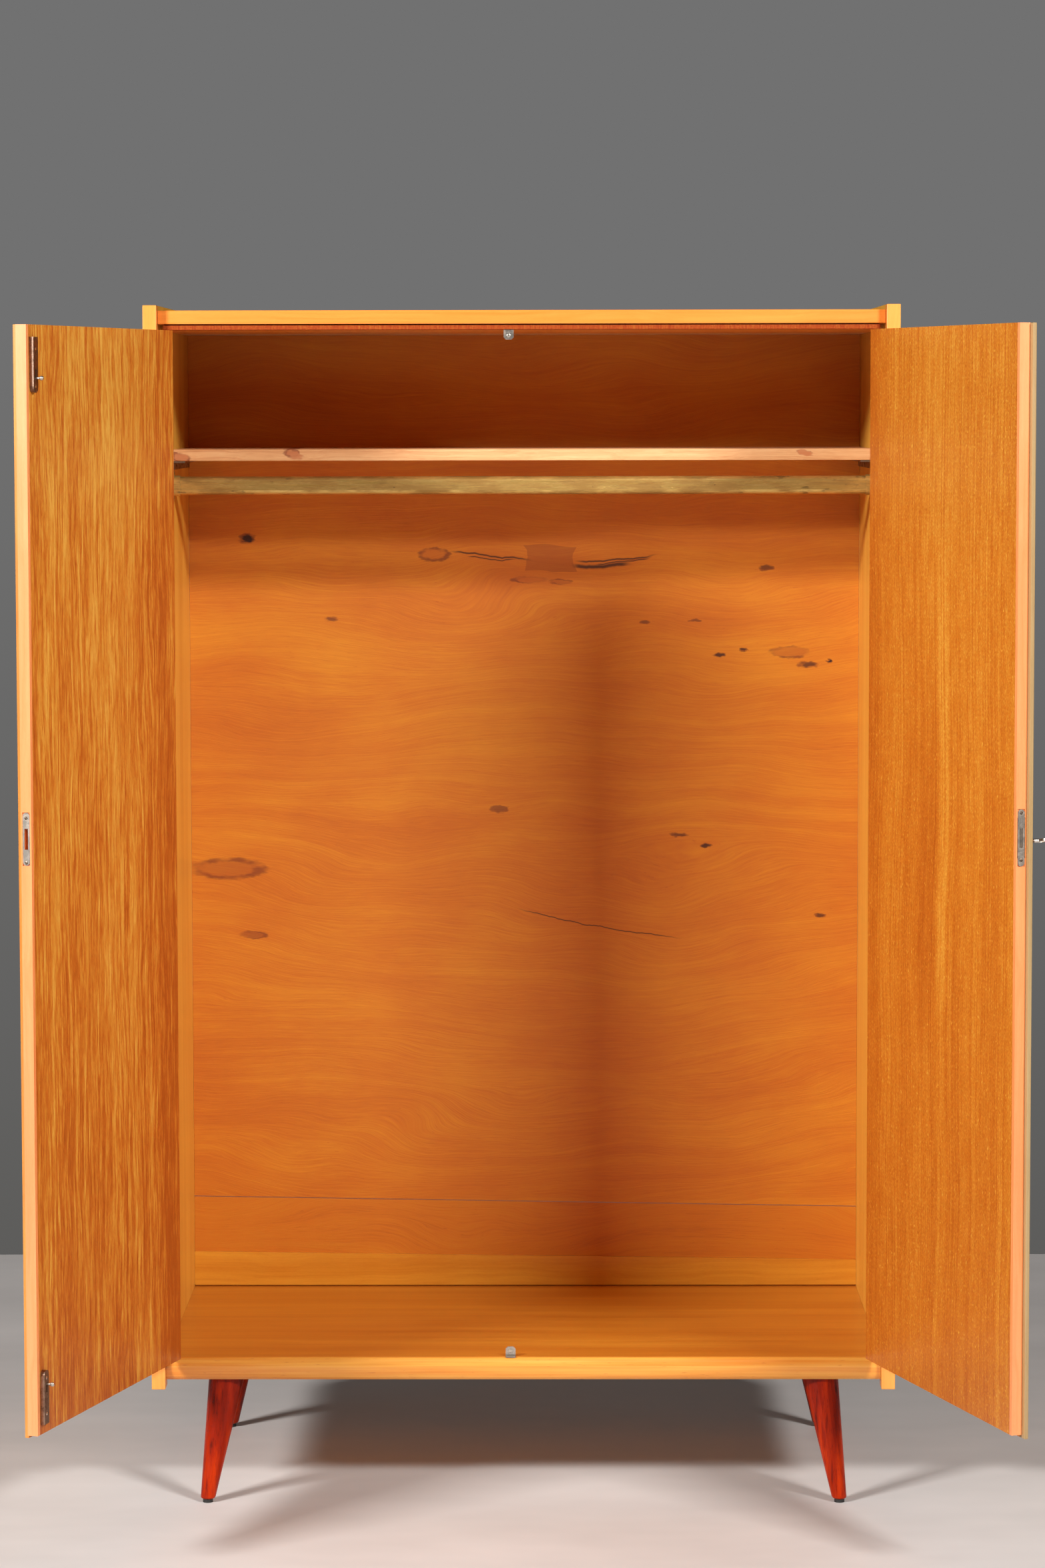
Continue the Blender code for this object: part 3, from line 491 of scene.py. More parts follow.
def knot_masks(paint, place, knots, tilt=0.0):
    """The strongest knot middle, knot ring and tinted inside at each point."""
    rough_x = (paint.noise(place, (0.012, 0.1, 0.006), 3, 2.4) - 0.5) * 0.020
    rough_z = (paint.noise(place, (0.014, 0.1, 0.007), 3, 6.8) - 0.5) * 0.009
    middle, ring, inside = None, None, None
    for x, z, wide, high, dark in knots:
        across = (place[0] + rough_x - x + (place[2] - z) * tilt) / wide
        upright = (place[2] + rough_z - z) / high
        distance = (across * across + upright * upright) ** 0.5
        core = paint.step(distance, 1.15, 0.55) * dark
        filled = paint.step(distance, 1.20, 0.80)
        edge = paint.step(abs(distance - 1.0), 0.34, 0.05) * (0.95 - 0.3 * dark)
        middle = core if middle is None else middle.math("MAXIMUM", middle, core)
        ring = edge if ring is None else ring.math("MAXIMUM", ring, edge)
        inside = filled if inside is None else inside.math("MAXIMUM", inside, filled)
    broken = paint.step(paint.noise(place, (0.040, 0.1, 0.016), 2, 1.3), 0.38, 0.60)
    return middle, ring * (0.20 + 0.80 * broken), inside


def crack_mask(paint, place, start, end, rise, width):
    """A thin line between two x values: a slope plus noise, thickest in its middle."""
    share = (place[0] - start[0]) / (end[0] - start[0])
    wobble = (paint.noise(place, (0.035, 1.0, 1.0), 3, 5.9) - 0.5) * 0.012
    height = start[1] + share * (end[1] - start[1]) + share * (1 - share) * rise + wobble
    inside = paint.step(share, 0.0, 0.15) * paint.step(share, 1.0, 0.80)
    return paint.step(abs(place[2] - height), width, width * 0.2) * inside


def patch_mask(paint, place):
    """A let-in patch with a narrow waist and a wavering outline."""
    x, z = place[0] - PATCH_X, place[2] - PATCH_Z
    waver_x = (paint.noise(place, (0.03, 1, 0.02), 1, 3.3) - 0.5) * 0.010
    waver_z = (paint.noise(place, (0.06, 1, 0.02), 1, 6.3) - 0.5) * 0.012
    across, upright = abs(x + waver_x) - z * z * PATCH_WAIST, abs(z + waver_z)
    wide = paint.step(across, PATCH_HALF_WIDTH + SOFTNESS, PATCH_HALF_WIDTH - SOFTNESS)
    return wide * paint.step(upright, PATCH_HALF_HEIGHT + SOFTNESS, PATCH_HALF_HEIGHT - SOFTNESS)


DEEP_PLY, PALE_PLY = tint(186, 89, 5), tint(224, 146, 26)


def plywood(name, knots=(), shift=0.0, deep=DEEP_PLY, pale=PALE_PLY):
    """Side-to-side grain that swells like contour lines; with knots, the figured inner face."""
    paint = Paint(name, coat_weight=0.08, coat_roughness=0.35)
    place = paint.place()
    swell = paint.noise(place, (0.75, 1.0, 0.30), 2, 1.9 + shift) * 0.26
    swell = swell + paint.noise(place, (0.22, 1.0, 0.09), 2, 3.7 + shift) * 0.022
    layers = [place[0], place[1], place[2] + swell]
    contour = paint.noise(layers, (1.6, 1.0, 0.017), 3, 0.8 + shift, 0.6)
    bright = paint.step(paint.noise(layers, (2.5, 1.0, 0.0045), 2, 5.3 + shift), 0.55, 0.68)
    band = paint.noise(layers, (0.9, 1.0, 0.10), 2, 7.4 + shift)
    fibre = paint.noise(layers, (0.030, 0.01, 0.0012), 3, 2.2)
    dash = paint.step(paint.noise(layers, (0.012, 0.01, 0.0009), 1, 4.6), 0.70, 0.77)
    cloud = paint.noise(place, (0.18, 1.0, 0.09), 2, 9.1 + shift)
    hair = paint.noise(layers, (0.25, 0.1, 0.0022), 3, 6.1 + shift, 0.65)
    tone = (contour + band + fibre + hair) * 0.26 + cloud * 0.30 + bright * 0.035
    tone = tone - 0.12 - dash * 0.10
    colour = paint.ramp(tone, [(0.28, deep), (0.52, tint(207, 117, 13)), (0.76, pale)])
    if knots:
        middle, ring, inside = knot_masks(paint, place, knots)
        facing = paint.add("NewGeometry", output=1)
        front = paint.step(paint.add("SeparateXYZ", inputs=[facing], output=1), 0.2, -0.2)
        middle, ring, inside = middle * front, ring * front, inside * front
        smear = paint.step(paint.noise(layers, (0.06, 1.0, 0.003), 2, 8.3), 0.62, 0.74)
        colour = paint.blend(inside * 0.35, colour, tint(176, 78, 14))
        colour = paint.blend(ring * (0.55 + 0.4 * fibre), colour, tint(112, 42, 6))
        colour = paint.blend(middle, colour, tint(54, 16, 3))
        colour = paint.blend(smear * 0.10, colour, tint(150, 60, 12))
        cracks = None
        for start, end, rise, width in CRACKS:
            strand = crack_mask(paint, place, start, end, rise, width)
            cracks = strand if cracks is None else cracks.math("MAXIMUM", cracks, strand)
        colour = paint.blend(patch_mask(paint, place) * front * 0.50, colour, tint(150, 66, 4))
        colour = paint.blend(cracks * front * 0.9, colour, tint(60, 22, 6))
    shine, relief = 0.50 + 0.12 * fibre, paint.bump(fibre + hair, 0.0002)
    return paint.set(base_color=colour, roughness=shine, normal=relief)


LOWER = {"deep": tint(176, 86, 7), "pale": tint(213, 133, 21)}
BATTEN = {"deep": tint(202, 117, 22), "pale": tint(233, 165, 50)}
# The ceiling's paler, greyer colours are painted light: they stand in for the light that the floor
# bounces up under the top.
CEILING_PAINTED_LIGHT = {"deep": tint(176, 112, 62), "pale": tint(206, 146, 88)}
dress(plywood("back_plywood", BACK_KNOTS), "back_panel_upper")
dress(plywood("lower_back_plywood", shift=3.0, **LOWER), "back_panel_lower")
dress(honey_veneer("batten_wood", grain=0, shift=6.0, **BATTEN), "back_batten")
dress(plywood("ceiling_plywood", shift=8.0, **CEILING_PAINTED_LIGHT), "ceiling_panel")
print("plywood done with", len(BACK_KNOTS), "knots")

# %% [markdown]
# ## Sides, floor and top
# The inner faces of the sides are plain veneer with upright grain and the floor's grain
# runs from side to side.  The outer faces of the sides and the top are honey veneer.  A
# side is one board with two faces, so its finish looks at which way the surface faces:
# the sign of the normal's x says whether that is the inside.

# %% Sides with two faces
def two_faced(name, side):
    """Honey veneer outside, plain orange veneer inside, chosen by the way a face points."""
    paint = Paint(name, coat_weight=0.20, coat_roughness=0.22)
    place = paint.place()
    facing = paint.add("NewGeometry", output=1)
    inward = paint.add("SeparateXYZ", inputs=[facing], output=0) * -side
    inside = paint.step(inward, 0.4, 0.6)
    bend = (paint.noise(place, (0.25, 0.25, 0.25), 2, 1.2) - 0.5) * 0.030
    place = [place[0], place[1] + bend, place[2]]
    band = paint.noise(place, (0.3, 0.050, 1.1), 2, 4.3)
    line = paint.noise(place, (0.3, 0.005, 0.5), 3, 7.1, 0.6)
    specks, pores = fine_grain(paint, place, 2)
    tone = band * 0.65 + line * 0.45 + specks * 0.12 - pores * 0.08 - 0.11
    inner = paint.ramp(tone, [(0.28, tint(203, 134, 38)), (0.75, tint(233, 180, 70))])
    outer = paint.ramp(tone, [(0.25, tint(188, 107, 27)), (0.75, tint(226, 153, 54))])
    colour = paint.blend(inside, outer, inner)
    shine = 0.38 + 0.1 * line
    return paint.set(base_color=colour, roughness=shine, normal=paint.bump(tone, 0.0003))


dress(two_faced("left_side_veneer", -1), "side_panel_left")
dress(two_faced("right_side_veneer", 1), "side_panel_right")
dress(honey_veneer("top_veneer", grain=0, shift=3.9), "top_panel")
FLOOR = {"deep": tint(182, 103, 23), "pale": tint(213, 144, 45)}
dress(honey_veneer("floor_veneer", grain=0, shift=8.8, **FLOOR), "floor_panel")
print("sides, floor and top done")

# %% [markdown]
# ## The rough strip under the top
# The narrow strip above the doors was left as the saw left it: orange, fuzzy, with
# upright tooth marks.  Tooth marks are noise that is narrow across the strip and tall,
# and they are strong in the bump as well as in the colour.

# %% Sawn strip, pale rear board, pine
def sawn_strip():
    paint = Paint("sawn_strip", specular_ior_level=0.25)
    place = paint.place()
    teeth = paint.noise(place, (0.0022, 0.02, 0.02), 3, 1.5, 0.7)
    fuzz = paint.noise(place, (0.004, 0.002, 0.0012), 3, 6.5, 0.7)
    tone = teeth * 0.55 + fuzz * 0.45
    stops = [(0.30, tint(117, 34, 1)), (0.50, tint(152, 58, 6)), (0.68, tint(168, 96, 27))]
    colour, rough = paint.ramp(tone, stops), 0.8 + 0.1 * fuzz
    return paint.set(base_color=colour, roughness=rough, normal=paint.bump(tone, 0.0012))


PINE_KNOTS = (
    (-0.397, 1.694, 0.012, 0.009, 0.5),
    (-0.583, 1.689, 0.013, 0.007, 0.4),
    (0.445, 1.695, 0.010, 0.005, 0.4),
)


DEEP_PINE, MIDDLE_PINE, PALE_PINE = tint(192, 132, 81), tint(211, 157, 104), tint(224, 179, 127)


def pine(name, knots=(), deep=DEEP_PINE, pale=PALE_PINE, shift=0.0):
    """Pine along x: growth rings as stretched bands, with knots where the board has them."""
    paint = Paint(name, coat_weight=0.04)
    place = paint.place()
    bend = (paint.noise(place, (0.14, 0.10, 0.03), 2, 2.8 + shift) - 0.5) * 0.014
    layers = [place[0], place[1] + bend * 2, place[2] + bend]
    ring = paint.noise(layers, (0.9, 0.010, 0.0045), 2, 4.9 + shift)
    fibre = paint.noise(layers, (0.04, 0.0015, 0.0010), 3, 1.4)
    tone = ring * 0.65 + fibre * 0.35
    colour = paint.ramp(tone, [(0.30, deep), (0.50, MIDDLE_PINE), (0.70, pale)])
    if knots:
        middle, edge, inside = knot_masks(paint, place, knots, 0.9)
        colour = paint.blend(inside * 0.55, colour, tint(196, 112, 60))
        colour = paint.blend(edge * 0.95, colour, tint(124, 54, 22))
        colour = paint.blend(middle * 0.9, colour, tint(150, 72, 34))
    rough = 0.55 + 0.1 * fibre
    return paint.set(base_color=colour, roughness=rough, normal=paint.bump(tone, 0.0004))


dress(sawn_strip(), "ceiling_front_strip")
dress(pine("shelf_pine", PINE_KNOTS), "shelf")
# The rear board's near-white colour is partly the pale raw wood and partly painted light, standing
# in for the bounce light that shows its edge as a pale line under the ceiling.
REAR_BOARD_PAINTED_LIGHT = {"deep": tint(244, 208, 170), "pale": tint(255, 230, 200)}
BLOCK = {"deep": tint(181, 109, 55), "pale": tint(212, 149, 90)}
dress(pine("rear_board_pine", shift=5.0, **REAR_BOARD_PAINTED_LIGHT), "ceiling_rear_board")
blocks = [name for name in nodes if name.startswith("leg_block")]
dress(pine("block_pine", shift=2.0, **BLOCK), *blocks)
print("strip and pine done,", len(blocks), "leg blocks")

# %% [markdown]
# ## Legs
# The legs are stained red-brown and lacquered.  The stain took unevenly: upright darker
# streaks follow the grain.  The legs are also painted darker towards their tops, as painted
# shade under the carcass.  A leg leans, but only by a hand's width over its length, so
# stretched noise that simply runs up is close enough.

# %% Stained legs and their glides
def stained_leg():
    paint = Paint("stained_leg", coat_weight=0.04, coat_roughness=0.20, specular_ior_level=0.14)
    place = paint.place()
    band = paint.noise(place, (0.016, 0.016, 0.16), 3, 2.7)
    streak = paint.step(paint.noise(place, (0.006, 0.006, 0.10), 3, 6.4, 0.6), 0.52, 0.68)
    pore = paint.step(paint.noise(place, (0.0010, 0.0010, 0.012), 2, 8.9), 0.58, 0.70)
    # Painted shade: the leg is darker towards its top, under the carcass.
    upper = paint.step(place[2], 0.03, 0.22)
    tone = band * 0.9 - streak * 0.22 - pore * 0.14 - upper * 0.14 + 0.10
    stops = [(0.15, tint(82, 11, 0)), (0.42, tint(143, 27, 0)), (0.70, tint(192, 51, 0))]
    colour, shine = paint.ramp(tone, stops), 0.28 + 0.1 * band
    return paint.set(base_color=colour, roughness=shine, normal=paint.bump(pore * -1.0, 0.0002))


def moulded_black():
    paint = Paint("moulded_black")
    pits = paint.noise(paint.place(), (0.0012, 0.0012, 0.0012), 3)
    colour = paint.ramp(pits, [(0.3, tint(18, 17, 16)), (0.7, tint(44, 41, 39))])
    rough = 0.45 + 0.2 * pits
    return paint.set(base_color=colour, roughness=rough, normal=paint.bump(pits, 0.0002))


legs = [name for name in nodes if name.startswith("leg_") and not name.startswith("leg_block")]
dress(stained_leg(), *legs)
dress(moulded_black(), *[name for name in nodes if name.startswith("glide")])
print(len(legs), "legs stained")

# %% [markdown]
# ## Metals
# The clothes rail is bare brass gone cloudy: bright where hangers rub its top, grey-brown
# blotches, dark specks and scratches that run along it.  The bolts, keepers, hinges and
# lock plates are worn nickel on steel, which shows brown where it has worn through.
# Patina is both darker and rougher than clean metal, so one mask drives both.

# %% Brass and nickel
def worn_brass():
    paint = Paint("worn_brass", metallic=0.65)
    place = paint.place()
    cloud = paint.noise(place, (0.075, 0.03, 0.016), 4, 1.8, 0.65)
    streak = paint.noise(place, (0.11, 0.004, 0.0022), 3, 4.1, 0.6)
    spot = paint.step(paint.noise(place, (0.005, 0.005, 0.0035), 2, 7.3), 0.74, 0.80)
    scratch = paint.step(paint.noise(place, (0.03, 0.001, 0.0007), 2, 9.6), 0.66, 0.74)
    patina = paint.step(cloud * 0.65 + streak * 0.35, 0.42, 0.58)
    clean = paint.ramp(streak, [(0.3, tint(192, 151, 76)), (0.7, tint(215, 180, 107))])
    colour = paint.blend(patina * 0.75, clean, tint(127, 89, 36))
    blotch = paint.step(paint.noise(place, (0.030, 0.03, 0.012), 3, 5.7, 0.6), 0.60, 0.70)
    ends = paint.step(abs(place[0] + 0.019), 0.22, 0.50)
    colour = paint.blend(blotch * (0.15 + 0.45 * ends), colour, tint(84, 62, 34))
    colour = paint.blend(spot * 0.8 + scratch * 0.35, colour, tint(47, 36, 25))
    rough = 0.30 + patina * 0.25 + spot * 0.2
    relief = paint.bump(cloud + scratch * -0.3, 0.0004)
    return paint.set(base_color=colour, roughness=rough, normal=relief)


PALE_NICKEL, BROWN_WEAR = tint(206, 196, 184), tint(120, 92, 66)


def worn_nickel(name, pale=PALE_NICKEL, brown=BROWN_WEAR, wear=0.55):
    """Bright metal that turns brown and rough where a cloudy mask says it has worn."""
    paint = Paint(name, metallic=1.0)
    place = paint.place()
    cloud = paint.noise(place, (0.012, 0.012, 0.012), 4, 3.4, 0.65)
    speck = paint.noise(place, (0.0012, 0.0012, 0.0012), 3, 6.6)
    worn = paint.step(cloud * 0.7 + speck * 0.3, wear - 0.10, wear + 0.14)
    colour = paint.blend(worn * 0.75, pale, brown)
    rough = 0.26 + worn * 0.28 + speck * 0.08
    return paint.set(base_color=colour, roughness=rough, normal=paint.bump(speck, 0.0001))


nickel = worn_nickel("worn_nickel")
dull_steel = worn_nickel("dull_steel", tint(150, 140, 128), tint(84, 62, 44), 0.48)
dark_bronze = worn_nickel("dark_bronze", tint(126, 92, 60), tint(62, 40, 26), 0.50)
browned_nickel = worn_nickel("browned_nickel", tint(158, 134, 116), tint(92, 64, 46), 0.52)
dress(worn_brass(), "clothes_rail", "rail_socket_left", "rail_socket_right")
dress(nickel, "top_keeper", "bottom_keeper", "strike_plate", "lock_faceplate")
dress(browned_nickel, "top_bolt_housing", "bottom_bolt_housing")
dress(nickel, "top_bolt_knob", "bottom_bolt_knob")
dress(nickel, *[name for name in nodes if name.startswith("hinge_")])
dress(dull_steel, "top_bolt_slide", "bottom_bolt_slide", "lock_bolt", "lock_case")
dress(dull_steel, "shelf_support_left", "shelf_support_right")
dress(dark_bronze, "key_escutcheon")


def key_steel():
    """Dark brown on the stem next to the door, partly the stem's own colour and partly painted
    shade where it goes into the door; bright on the bow that fingers rub.
    """
    paint = Paint("key_steel", metallic=1.0)
    along, through, up = paint.place(right)
    speck = paint.noise((along, through, up), (0.0012, 0.0012, 0.0012), 3, 6.6)
    # Partly painted shade: the stem is dark brown where it goes into the door, and the bow is
    # bright.
    bow = paint.step(through + speck * 0.003, -0.0085, -0.0125)
    colour = paint.blend(bow, tint(92, 62, 40), tint(224, 214, 204))
    rough = 0.30 + 0.12 * speck
    return paint.set(base_color=colour, roughness=rough, normal=paint.bump(speck, 0.0001))


dress(key_steel(), "key")
print("metals done")

# %% [markdown]
# ## Screws, rivets and nails
# Every fitting is held by small slotted screws or rivets, a few millimetres across.  A
# disc made of rings could not hold a slot with upright walls, because its spokes cross
# the slot at every angle.  The head is drawn as chords that run along the slot instead:
# two chords share each wall's place across the head, one at the top and one at the
# bottom of the slot, so the wall comes out crisp.  The rivets in the keepers are nearly
# flat, because the shut door passes just in front of them.

# %% Skins from two grids
def skin(top, bottom):
    """Points and faces of two grids of one shape, joined round their rims into a closed skin."""
    rows, columns = top.shape[:2]
    under = rows * columns
    place = np.arange(under).reshape(rows, columns)
    quads = np.stack([place[:-1, :-1], place[1:, :-1], place[1:, 1:], place[:-1, 1:]], -1)
    quads = quads.reshape(-1, 4)
    rim = np.concatenate([place[:-1, 0], place[-1, :-1], place[:0:-1, -1], place[0, :0:-1]])
    after = np.roll(rim, -1)
    walls = np.stack([after, rim, rim + under, after + under], -1)
    points = np.concatenate([top.reshape(-1, 3), bottom.reshape(-1, 3)])
    return points, np.concatenate([quads, quads[:, ::-1] + under, walls])


def surface(name, parts, material, body):
    """One object at the origin from (points, faces) parts in the room, riding on a body."""
    points, faces, start = [], [], 0
    for part_points, part_faces in parts:
        points += [tuple(float(v) for v in point) for point in part_points]
        faces += [tuple(int(i) + start for i in face) for face in part_faces]
        start += len(part_points)
    mesh = bpy.data.meshes.new(name)
    mesh.from_pydata(points, [], faces)
    mesh.materials.append(material)
    item = bpy.data.objects.new(name, mesh)
    bpy.context.scene.collection.objects.link(item)
    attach(item, body)
    return item


# %% Heads from chords
def head_grid(radius, dome, slot, chords, steps):
    """A head's top: z = dome * (1 - (r / radius)^2), less the slot's depth inside the slot.

    x runs over the chords; y runs along each chord, whose half length is
    sqrt(radius^2 - x^2).  The slot is where |x| is under half the slot's width.
    """
    width, depth = slot
    side = radius * np.cos(np.linspace(0.0, 0.5, chords, endpoint=False) * np.pi)
    side = side[side > width * 0.6]
    slot_x = np.array([-0.5, -0.5, 0.0, 0.5, 0.5]) * width if width else np.zeros(1)
    sunk = np.array([0.0, 1.0, 1.0, 1.0, 0.0]) if width else np.zeros(1)
    x = np.concatenate([-side, slot_x, side[::-1]])[:, None]
    sunk = np.concatenate([0 * side, sunk, 0 * side])[:, None]
    reach = np.sqrt(np.maximum(radius**2 - x**2, (0.1 * radius) ** 2))
    y = reach * np.sin(np.linspace(-0.5, 0.5, steps) * np.pi)
    z = dome * (1 - np.minimum((x**2 + y**2) / radius**2, 1)) - depth * sunk
    return np.stack([x + 0 * y, y, z], -1)


def heads(name, body, material, radius, dome, spots, slot=(0.0, 0.0), chords=5, steps=9):
    """Heads at (place, outward direction, turn of the slot), all in one object."""
    top = head_grid(radius, dome, slot, chords, steps)
    bottom = top * (1, 1, 0) - (0, 0, slot[1] + 0.0004)
    parts = []
    for place, outward, turn in spots:
        outward = Vector(outward).normalized()
        upward = Vector((0, 1, 0) if abs(outward.z) > 0.9 else (0, 0, 1))
        level = upward.cross(outward).normalized()
        across = cos(turn) * level + sin(turn) * outward.cross(level)
        axes = np.array([across, outward.cross(across), outward])
        parts.append(skin(top @ axes + np.array(place), bottom @ axes + np.array(place)))
    surface(name, parts, material, body)


SLOT = (0.0007, 0.0006)
bright_steel = worn_nickel("bright_steel", tint(226, 214, 198), tint(128, 96, 68), 0.60)
dark_screw = worn_nickel("dark_screw", tint(120, 104, 88), tint(58, 42, 30), 0.46)

BOLT_SCREWS = ((1.8569, 0.4), (1.802, 1.2), (0.3287, 2.1), (0.2745, 0.9))
STRIKE_SCREWS = ((1.168, 0.7), (1.102, 1.9))
FACEPLATE_SCREWS = ((1.174, 1.1), (1.104, 2.5))
bolt_spots = [(left.point(0.554, 0.0322, z), left.through, turn) for z, turn in BOLT_SCREWS]
heads("bolt_screws", "left_door", bright_steel, 0.0024, 0.0006, bolt_spots, SLOT)
strike_spots = [(left.point(0.573, 0.0171, z), left.along, turn) for z, turn in STRIKE_SCREWS]
heads("strike_screws", "left_door", dark_screw, 0.0026, 0.0005, strike_spots, SLOT)
plate_spots = [(right.point(0.573, 0.0171, z), right.along, turn) for z, turn in FACEPLATE_SCREWS]
heads("faceplate_screws", "right_door", dark_screw, 0.0026, 0.0005, plate_spots, SLOT)

keeper_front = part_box("top_keeper")[0][1]
keeper_spots = []
for name, share in (("bottom_keeper", 0.60), ("top_keeper", 0.40)):
    low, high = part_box(name)
    place = ((low[0] + high[0]) / 2, keeper_front, low[2] + share * (high[2] - low[2]))
    keeper_spots.append((place, (0, -1, 0), 0))
heads("keeper_rivets", "carcass", bright_steel, 0.0030, 0.0004, keeper_spots)

wall_left, wall_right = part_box("side_panel_left")[1][0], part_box("side_panel_right")[0][0]
socket_spots, support_spots = [], []
for wall, side in ((wall_left, 1), (wall_right, -1)):
    socket_low, socket_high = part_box("rail_socket_left" if side == 1 else "rail_socket_right")
    middle_y = (socket_low[1] + socket_high[1]) / 2
    for z in (socket_low[2] + 0.005, socket_high[2] - 0.005):
        socket_spots.append(((wall + side * 0.0020, middle_y, z), (side, 0, 0), 0.6 + z))
    low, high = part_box("shelf_support_left" if side == 1 else "shelf_support_right")
    for y in (low[1] + 0.045, (low[1] + high[1]) / 2, high[1] - 0.045):
        support_spots.append(((wall + side * 0.0027, y, low[2] + 0.0062), (side, 0, 0), 2 * y))
heads("socket_screws", "carcass", dark_screw, 0.0030, 0.0008, socket_spots, SLOT)
heads("support_screws", "carcass", dark_screw, 0.0028, 0.0010, support_spots, SLOT)
print(len(bolt_spots + strike_spots + plate_spots + socket_spots + support_spots), "screws")

# %% [markdown]
# ## Nails and block screws
# The back is nailed round its rim and each leg block is held by four screws.  They could
# be copies of one mesh, but there are few enough to make them with the same function.

# %% Nails in the back and screws in the leg blocks
nail_spots = []
low, high = Vector(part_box("back_panel_lower")[0]), Vector(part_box("back_panel_upper")[1])
inset = 0.009
for share in np.linspace(0, 1, 11):
    x = low.x + inset + share * (high.x - low.x - 2 * inset)
    nail_spots += [((x, high.y, z), (0, 1, 0), 0) for z in (low.z + inset, high.z - inset)]
for share in np.linspace(0, 1, 15)[1:-1]:
    z = low.z + inset + share * (high.z - low.z - 2 * inset)
    nail_spots += [((x, high.y, z), (0, 1, 0), 0) for x in (low.x + inset, high.x - inset)]
heads("back_nails", "carcass", dark_screw, 0.0024, 0.0005, nail_spots, chords=3, steps=6)

CORNER = 0.012
block_spots = []
for name in blocks:
    low, high = [Vector(corner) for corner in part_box(name)]
    for x in (low.x + CORNER, high.x - CORNER):
        for y in (low.y + CORNER, high.y - CORNER):
            block_spots.append(((x, y, low.z), (0, 0, -1), 3 * x + 5 * y))
heads("block_screws", "carcass", dark_screw, 0.0040, 0.0006, block_spots, (0.0009, 0.0007))
print(len(nail_spots), "nails and", len(block_spots), "block screws")

# %% [markdown]
# ## Piano hinges
# The frame's hinge leaves have a few long knuckles, enough for their motion.  A real
# piano hinge has a knuckle every finger's width, each a strip of the leaf rolled round
# the pin.  The knuckle could be swept as a thin curl, but at three millimetres across
# only its outside shows, so it is an upright prism whose outline is the rolled strip's.

# %% Hinge leaves with fine knuckles
BARREL, LEAF, LEAF_WIDTH = 0.0032, 0.0012, 0.0180
PITCH_COUNT = 65
KNUCKLE_GAP = 0.0003
LEAF_SCREWS, SCREW_LINE = 12, 0.0112


def upright_prism(outline, low, high):
    """Points and faces of a prism over an outline that runs anticlockwise seen from above."""
    count = len(outline)
    points = [(x, y, z) for z in (low, high) for x, y in outline]
    sides = [(i, (i + 1) % count, (i + 1) % count + count, i + count) for i in range(count)]
    return points, sides + [tuple(range(count))[::-1], tuple(range(count, 2 * count))]


def knuckle_outline(bend=10):
    """A strip of thickness LEAF, tangent to a circle of radius BARREL: (along, through) points."""
    inner = BARREL - LEAF
    first = np.arctan2(inner, np.sqrt(BARREL**2 - inner**2))
    turns = np.linspace(np.pi / 2 - first, 2 * np.pi, bend)
    arc = [(BARREL * cos(turn), BARREL * sin(turn)) for turn in turns]
    return [(BARREL, BARREL + 0.0006), (inner, BARREL + 0.0006)] + arc


def hinge_leaf(name, node, body, pin, along, through, first):
    """A flat leaf, every second knuckle from the first, and its screws; replaces a frame leaf."""
    low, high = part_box(node)[0][2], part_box(node)[1][2]
    pitch = (high - low) / PITCH_COUNT

    def room(outline):
        spots = [pin + along * a + through * t for a, t in outline]
        spots = [(spot.x, spot.y) for spot in spots]
        return spots if along.cross(through).z > 0 else spots[::-1]

    near, inner = BARREL + KNUCKLE_GAP, BARREL - LEAF
    plate = [(inner, near), (BARREL, near), (BARREL, LEAF_WIDTH), (inner, LEAF_WIDTH)]
    parts = [upright_prism(room(plate), low, high)]
    for number in range(first, PITCH_COUNT, 2):
        start = low + number * pitch + KNUCKLE_GAP / 2
        parts.append(upright_prism(room(knuckle_outline()), start, start + pitch - KNUCKLE_GAP))
    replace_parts(surface(name, parts, hinge_nickel, body), node)
    spots = []
    spot = pin + along * inner + through * SCREW_LINE
    for share in np.linspace(0.015, 0.985, LEAF_SCREWS):
        spots.append(((spot.x, spot.y, low + share * (high - low)), -along, 9 * share))
    heads(name + "_screws", body, bright_steel, 0.0030, 0.0004, spots, SLOT)


hinge_nickel = worn_nickel("hinge_nickel", tint(210, 200, 180), tint(132, 104, 70), 0.56)
for door, side in ((left, -1), (right, 1)):
    word = door.word
    outward, inward = Vector((side, 0, 0)), Vector((0, 1, 0))
    node = f"hinge_side_leaf_{word}"
    hinge_leaf(f"{word}_side_leaf", node, "carcass", door.pin, outward, inward, 0)
    node, body = f"hinge_door_leaf_{word}", f"{word}_door"
    hinge_leaf(f"{word}_door_leaf", node, body, door.pin, door.along, door.through, 1)
print(PITCH_COUNT, "knuckles in each hinge")

# %% [markdown]
# ## Light and floor
# Two large softboxes stand left and right of the camera, above the wardrobe's height.
# Each is hidden from part of the back by the door on its own side, which leaves a dim
# wedge low on the back where neither reaches.  The room's grey is the world colour, with
# less of it used for lighting than for show, so that the upper compartment stays dark.

# %% Softboxes, world and floor
def softbox(name, place, aim, width, height, power):
    lamp = bpy.data.lights.new(name, "AREA")
    lamp.shape = "RECTANGLE"
    lamp.size = width
    lamp.size_y = height
    lamp.energy = power
    holder = bpy.data.objects.new(name, lamp)
    bpy.context.scene.collection.objects.link(holder)
    turn = (Vector(place) - Vector(aim)).to_track_quat("Z", "Y")
    holder.matrix_world = Matrix.Translation(place) @ turn.to_matrix().to_4x4()
    return holder


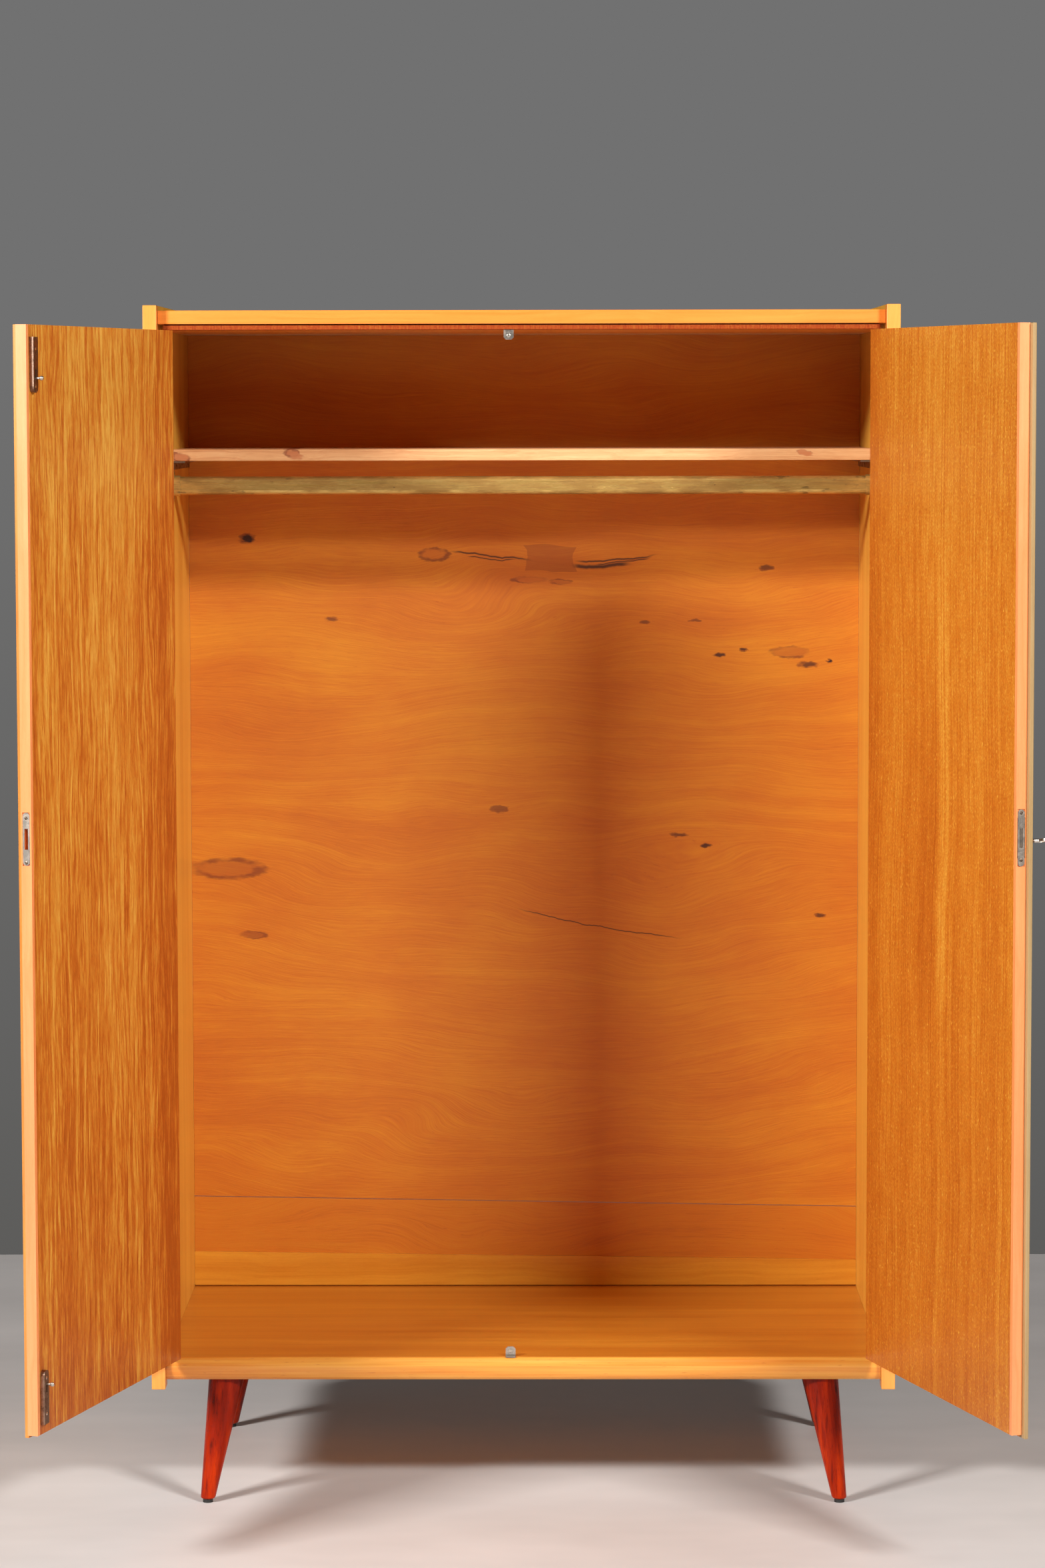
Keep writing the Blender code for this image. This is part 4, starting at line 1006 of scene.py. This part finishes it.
softbox("left_softbox", (-4.1, -4.2, 3.55), (0.0, 0.2, 1.0), 1.2, 0.7, 497)
softbox("right_softbox", (3.4, -4.6, 3.95), (0.0, 0.2, 1.0), 1.1, 0.7, 378)
rear = softbox("rear_bounce", (0.0, 3.6, 0.9), (0.0, 0.8, 0.0), 3.6, 1.2, 11)
rear.visible_camera = False

world = bpy.data.worlds.new("studio")
bpy.context.scene.world = world
world.use_nodes = True
grow = world.node_tree.nodes.new
seen, share, wall = grow("ShaderNodeLightPath"), grow("ShaderNodeMix"), grow("ShaderNodeMix")
spot, parts = grow("ShaderNodeTexCoord"), grow("ShaderNodeSeparateXYZ")
height = grow("ShaderNodeMapRange")
share.data_type = wall.data_type = "RGBA"
height.inputs["From Min"].default_value = -0.20
height.inputs["From Max"].default_value = 0.02
wall.inputs[6].default_value = tint(92, 91, 89)
wall.inputs[7].default_value = tint(113, 113, 113)
share.inputs[6].default_value = (0.009, 0.006, 0.003, 1)
join = world.node_tree.links.new
join(spot.outputs["Generated"], parts.inputs[0])
join(parts.outputs["Z"], height.inputs["Value"])
join(height.outputs[0], wall.inputs[0])
join(wall.outputs[2], share.inputs[7])
join(seen.outputs["Is Camera Ray"], share.inputs[0])
join(share.outputs[2], world.node_tree.nodes["Background"].inputs[0])


def pale_floor():
    paint = Paint("pale_floor")
    place = paint.place()
    cloud = paint.noise(place, (0.9, 0.5, 1.0), 4, 1.0, 0.6)
    colour = paint.ramp(cloud, [(0.3, tint(196, 190, 186)), (0.7, tint(216, 210, 206))])
    return paint.set(base_color=colour, roughness=0.55 + 0.2 * cloud)


def sheet(name, x_range, y_range, height):
    """A level rectangle as one face."""
    corners = [(x, y, height) for x, y in ((0, 0), (1, 0), (1, 1), (0, 1))]
    corners = [(x_range[a], y_range[b], z) for a, b, z in corners]
    mesh = bpy.data.meshes.new(name)
    mesh.from_pydata(corners, [], [(0, 1, 2, 3)])
    item = bpy.data.objects.new(name, mesh)
    bpy.context.scene.collection.objects.link(item)
    return item


floor = sheet("studio_floor", (-9, 9), (-9, 2.12), 0)
floor.data.materials.append(pale_floor())
print("lights:", len(bpy.data.lights))
